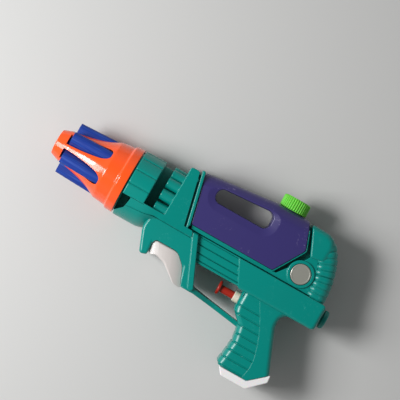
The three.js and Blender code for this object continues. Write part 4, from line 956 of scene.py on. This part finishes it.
whole = casing()
for name, node, low, high in [("leftCasing", "left_casing", fit / 2, split.reach),
                              ("rightCasing", "right_casing", -split.reach, -fit / 2)]:
    half = addObject(name, whole.data.copy())
    finish(common(half, halfRoom(low, high)), name, "teal", [node])
bpy.data.objects.remove(whole)
print("casing done")

finish(tankBody(), "waterTank", "purple", ["water_tank"])
print("tank done")

# Cap: knurled wall, crowned top

cap = Sizes(
    radius=11.3, foot=0.3, chamfer=0.4, height=10.0, crown=0.7, bore=8.5, boreTop=9.0, middle=0.01,
    dimple=[(0.15, 5.4), (0.5, 4.9)], ribs=36, ribDepth=0.8, ribWidth=0.7, ribFoot=(0.2, 0.7),
    ribTop=(1.6, 0.7, 0.4), ribTaper=0.6,
)


def fillCap():
    inner, wide = cap.radius - cap.ribDepth, cap.ribWidth
    low, high = cap.foot, cap.foot + cap.height
    dimple = [(high - depth, radius) for depth, radius in cap.dimple]
    shell = turned("capShell", [
        (low, cap.bore), (low, inner - cap.chamfer), (low + cap.chamfer, inner),
        *roundedEnd(high, inner, cap.crown, smooth.edgeSteps), *dimple, (dimple[-1][0], cap.middle),
        (cap.boreTop, cap.middle), (cap.boreTop, cap.bore), (low, cap.bore),
    ], segments=144)
    footLow, footHigh = cap.ribFoot
    topLow, topMiddle, topHigh = cap.ribTop
    rib = turned("capRib", [(low + footLow, 0.0), (low + footHigh, wide), (high - topLow, wide),
                            (high - topMiddle, wide * cap.ribTaper), (high - topHigh, 0.0)], segments=12)
    reach = cap.radius - wide
    join([shell, repeatRound("capRibs", rib, "lime", cap.ribs, 0.0, 2 * math.pi / cap.ribs, reach, reach)])
    upright = Matrix.Rotation(math.pi / 2, 4, "Z")
    return turnMesh(shell, Matrix.Translation((tank.neckX, tank.top, 0)) @ upright)


finish(fillCap(), "fillCap", "lime", ["fill_cap"], "cap")
print("cap done")

# Foregrip insert, discs, base and plug

def insertForm():
    # crowned across the finger's rest
    lean = Matrix.Rotation(foregrip.crownLean, 4, "Z")
    logs = []
    for side in [1, -1]:
        log = rod("insertCrown", "y", foregrip.crown, -2 * clear, 2 * clear, segments=160)
        place = (*foregrip.crownAt, side * (foregrip.insertHalf - foregrip.crown))
        logs.append(turnMesh(log, Matrix.Translation(place) @ lean))
    return common(slab("insert", foregrip.insert, foregrip.insertHalf, foregrip.insertEdge, -fit), *logs)


finish(insertForm(), "foregripInsert", "grey", ["foregrip_insert"])

disc = Sizes(rim=0.9, sink=0.18, ease=0.4, steps=9)
for side, name, node in [(1, "leftDisc", "left_disc"), (-1, "rightDisc", "right_disc")]:
    top, radius = tail.discDepth, tail.discRadius
    bead = roundedEnd(top, radius, disc.rim, disc.steps, math.pi - math.asin(1 - disc.sink / disc.rim))
    profile = [(0, 0), (0, radius), *bead, (top - disc.sink, bead[-1][1] - disc.ease), (top - disc.sink, 0)]
    turn = Matrix.Identity(4) if side > 0 else Matrix.Rotation(math.pi, 4, "X")
    place = Matrix.Translation((*tail.discAt, side * (tail.bossHalf - top)))
    finish(turnMesh(turned("button", profile, "z", segments=112), place @ turn), name, "silver", [node])

base = Sizes(
    plate=([(193.9, -88.6, 0.7), (217.7, -88.6), (232.4, -75.8, 0.7), (232.9, -82.0, 1.4),
            (220.01, -94.6, 2.2), (198.3, -94.6, 1.6)], 14.9, 0.9),
    peg=(2.4, -92.5, -84.5),
)
foot = join([slab("foot", *base.plate), rod("peg", "y", *base.peg, (grip.pegX, 0, 0), segments=40)])
finish(foot, "gripBase", "white", ["grip_base"])

plug = Sizes(neck=5.0, neckLength=2.2, radius=7.4, headLength=3.8, chamfer=0.3, edge=1.6, flange=6.6,
             flangeFront=-4.3, flangeBack=-2.3, at=(243.71, -19.05, 0.0))
headFront, headEnd = plug.neckLength, plug.neckLength + plug.headLength
rearPlug = turned("plug", [
    (plug.flangeFront, 0), (plug.flangeFront, plug.flange), (plug.flangeBack, plug.flange),
    (plug.flangeBack, plug.neck), (headFront, plug.neck), (headFront, plug.radius - plug.chamfer),
    (headFront + plug.chamfer, plug.radius),
    *roundedEnd(headEnd, plug.radius, plug.edge, smooth.edgeSteps), (headEnd, 0),
], "x", plug.at, segments=96)
finish(rearPlug, "rearPlug", "teal", ["rear_plug"])
print("trim done")

# Trigger plunger and bush

trigger = Sizes(
    at=(grip.front, pump.level, 0.0), reach=17.9, travel=10.5, flange=5.8, flangeLength=2.4,
    flangeEdge=0.9, flangeSteps=5, face=[(0.35, 0), (0.1, 2.4), (0.0, 3.6)], shaft=3.1,
    shaftFoot=[(0.15, 0.6), (0.7, 0.0)], pistonFront=5.6, pistonBack=10.2, piston=5.0, groove=3.4,
    grooveHalf=1.05, bushReach=3.9, bush=4.3, bushFlange=7.2, bushFlangeBack=3.7, bushTail=5.2, bushBack=4.9,
)
front, back = -trigger.reach, trigger.flangeLength - trigger.reach
middle = (trigger.pistonFront + trigger.pistonBack) / 2
grooveFront, grooveBack = middle - trigger.grooveHalf, middle + trigger.grooveHalf
flangeBack = roundedEnd(back, trigger.flange, trigger.flangeEdge, trigger.flangeSteps)
plunger = turned("plunger", [
    *[(front + along, radius) for along, radius in trigger.face],
    *[(front + back - along, radius) for along, radius in flangeBack[::-1]], *flangeBack,
    *[(back + along, trigger.shaft + rise) for along, rise in trigger.shaftFoot],
    (trigger.pistonFront, trigger.shaft), (trigger.pistonFront, trigger.piston),
    (grooveFront, trigger.piston), (grooveFront, trigger.groove), (grooveBack, trigger.groove),
    (grooveBack, trigger.piston), (trigger.pistonBack, trigger.piston), (trigger.pistonBack, 0),
], "x", trigger.at, segments=80)
finish(plunger, "triggerPlunger", "red", ["trigger_plunger"], "trigger")

bore = trigger.shaft + fit
bush = turned("bush", ringProfile([
    (-trigger.bushReach, bore, 0.2), (-trigger.bushReach, trigger.bush, 0.6), (wall + fit, trigger.bush),
    (wall + fit, trigger.bushFlange), (trigger.bushFlangeBack, trigger.bushFlange),
    (trigger.bushFlangeBack, trigger.bushTail), (trigger.bushBack, trigger.bushTail),
    (trigger.bushBack, bore),
]), "x", trigger.at, segments=80)
finish(bush, "plungerBush", "cream", ["plunger_bush"], slotName="white_plastic")

# Return spring: one wire round the plunger's axis

spring = Sizes(radius=4.2, wire=0.45, turns=7.0, front=192.56, length=16.3, level=pump.level, steps=32,
               sides=12)


def returnSpring():
    def build(wire, given):
        coil = wire.make("GeometryNodeCurveSpiral", {
            "Resolution": given.steps, "Rotations": given.turns, "Start Radius": given.radius,
            "End Radius": given.radius, "Height": given.length,
        })
        coil = wire.make("GeometryNodeTransform", {
            "Geometry": coil, "Translation": wire.vector(X=given.front, Y=given.level),
            "Rotation": (0.0, math.pi / 2, 0.0),
        })
        ring = wire.make("GeometryNodeCurvePrimitiveCircle", {
            "Resolution": given.sides, "Radius": given.wire,
        }, "Curve", mode="RADIUS")
        return wire.make("GeometryNodeCurveToMesh", {"Curve": coil, "Profile Curve": ring, "Fill Caps": True},
                         "Mesh")

    return growTree("returnSpring", spring, "steel", build)


coil = finish(returnSpring(), "returnSpring", "steel", ["return_spring"], "trigger", "spring_steel")
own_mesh(coil)
print("trigger done")

# Casing screws: one cross-slotted screw, copied to each hole of the right half

def casingScrews():
    head, long, thin = screws.headHeight, screws.slotReach, screws.slotWidth / 2
    screw = turned("screw", [
        *screws.headRound, (screws.headSide, screws.head), (head, screws.head), (head, screws.shank),
        (screws.shankEnd, screws.shank), *screws.point,
    ], "z", segments=32)
    cut(screw, [block("slot", -long, long, -thin, thin, -over, screws.slotDepth),
                block("slot", -thin, thin, -long, long, -over, screws.slotDepth)])
    host = addBody("casingScrews", [(x, y, screws.sink - half) for x, y, half in screws.places], [])

    def build(wire, given):
        turn = wire.vector(Z=wire.make("GeometryNodeInputIndex", {}) * given.twist)
        return copies(wire, given.geometry, given.template, turn)

    return growTree("casingScrews", {"template": screw, "twist": screws.twist}, "steel", build, host)


screwNodes = [f"casing_screw_{number}" for number in range(1, len(screws.places) + 1)]
finish(casingScrews(), "casingScrews", "steel", screwNodes, slotName="spring_steel")
print("screws done")

# Pieces inside keep their solids and get their finish
inside = {
    "cap_seal": "rubber", "piston_seal": "rubber", "pump_cylinder": "white",
    "inlet_ball": "steel", "outlet_ball": "steel", "suction_tube": "milky", "outlet_tube": "milky",
}
for node, finishName in inside.items():
    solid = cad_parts[node]
    solid.data.materials.clear()
    solid.data.materials.append(paint[finishName])

# Camera over the left side, floor and soft light

shot = Sizes(tilt=math.radians(29.5), perPixel=0.776, pixels=400, distance=1.25, aim=(118.7, 14.74, 0.0),
             sensor=36.0, clipEnd=20)
lens = bpy.data.cameras.new("camera")
camera = addObject("camera", lens)
camera.location = toFrame @ Vector(shot.aim) + Vector((0, 0, shot.distance))
camera.rotation_euler = (0, 0, shot.tilt)
lens.sensor_width = shot.sensor
lens.lens = shot.sensor * shot.distance / (shot.perPixel * shot.pixels * mm)
lens.clip_end = shot.clipEnd
bpy.context.scene.camera = camera

room = Sizes(floor=3, floorDrop=0.0002, floorColour=(0.6, 0.6, 0.59, 1), floorRoughness=0.8,
             walls=0.36, ceilingFall=0.3, ceilingFrom=0.45, ceilingGain=2.0, lampAim=(0, 0, 0.02))
far = room.floor
ground = addBody("floor", [(-far, -far, 0), (far, -far, 0), (far, far, 0), (-far, far, 0)], [(0, 1, 2, 3)])
ground.location = (0, 0, -room.floorDrop)
pale = bpy.data.materials.new("paleFloor")
floorWire = emptyTree(pale)
matt = floorWire.make("ShaderNodeBsdfPrincipled", {"Base Color": room.floorColour,
                                                   "Roughness": room.floorRoughness})
floorWire.make("ShaderNodeOutputMaterial", {"Surface": matt})
ground.data.materials.append(pale)

world = bpy.data.worlds.new("studio")
sky = emptyTree(world)
heading = sky.make("ShaderNodeTexCoord", {}, "Generated")
upward = sky.make("ShaderNodeSeparateXYZ", {"Vector": heading}, "Z")
ceiling = upward.above(room.ceilingFrom, room.ceilingGain)  # the room's ceiling is darker than its walls
dome = sky.make("ShaderNodeBackground", {"Color": (1, 1, 1, 1),
                                         "Strength": room.walls - ceiling * room.ceilingFall})
sky.make("ShaderNodeOutputWorld", {"Surface": dome})
bpy.context.scene.world = world


def addLamp(name, place, power, width, height):
    lamp = bpy.data.lights.new(name, "AREA")
    lamp.shape = "RECTANGLE"
    lamp.size, lamp.size_y, lamp.energy = width, height, power
    holder = addObject(name, lamp)
    holder.location = place
    holder.rotation_euler = (Vector(room.lampAim) - Vector(place)).to_track_quat("-Z", "Y").to_euler()


addLamp("keyLight", (-0.59, -0.08, 0.74), 2.9, 0.22, 0.22)
addLamp("windowLight", (-0.58, -0.16, 0.66), 5.9, 0.4, 0.45)

bpy.context.scene.view_settings.view_transform = "Standard"
print("scene done")
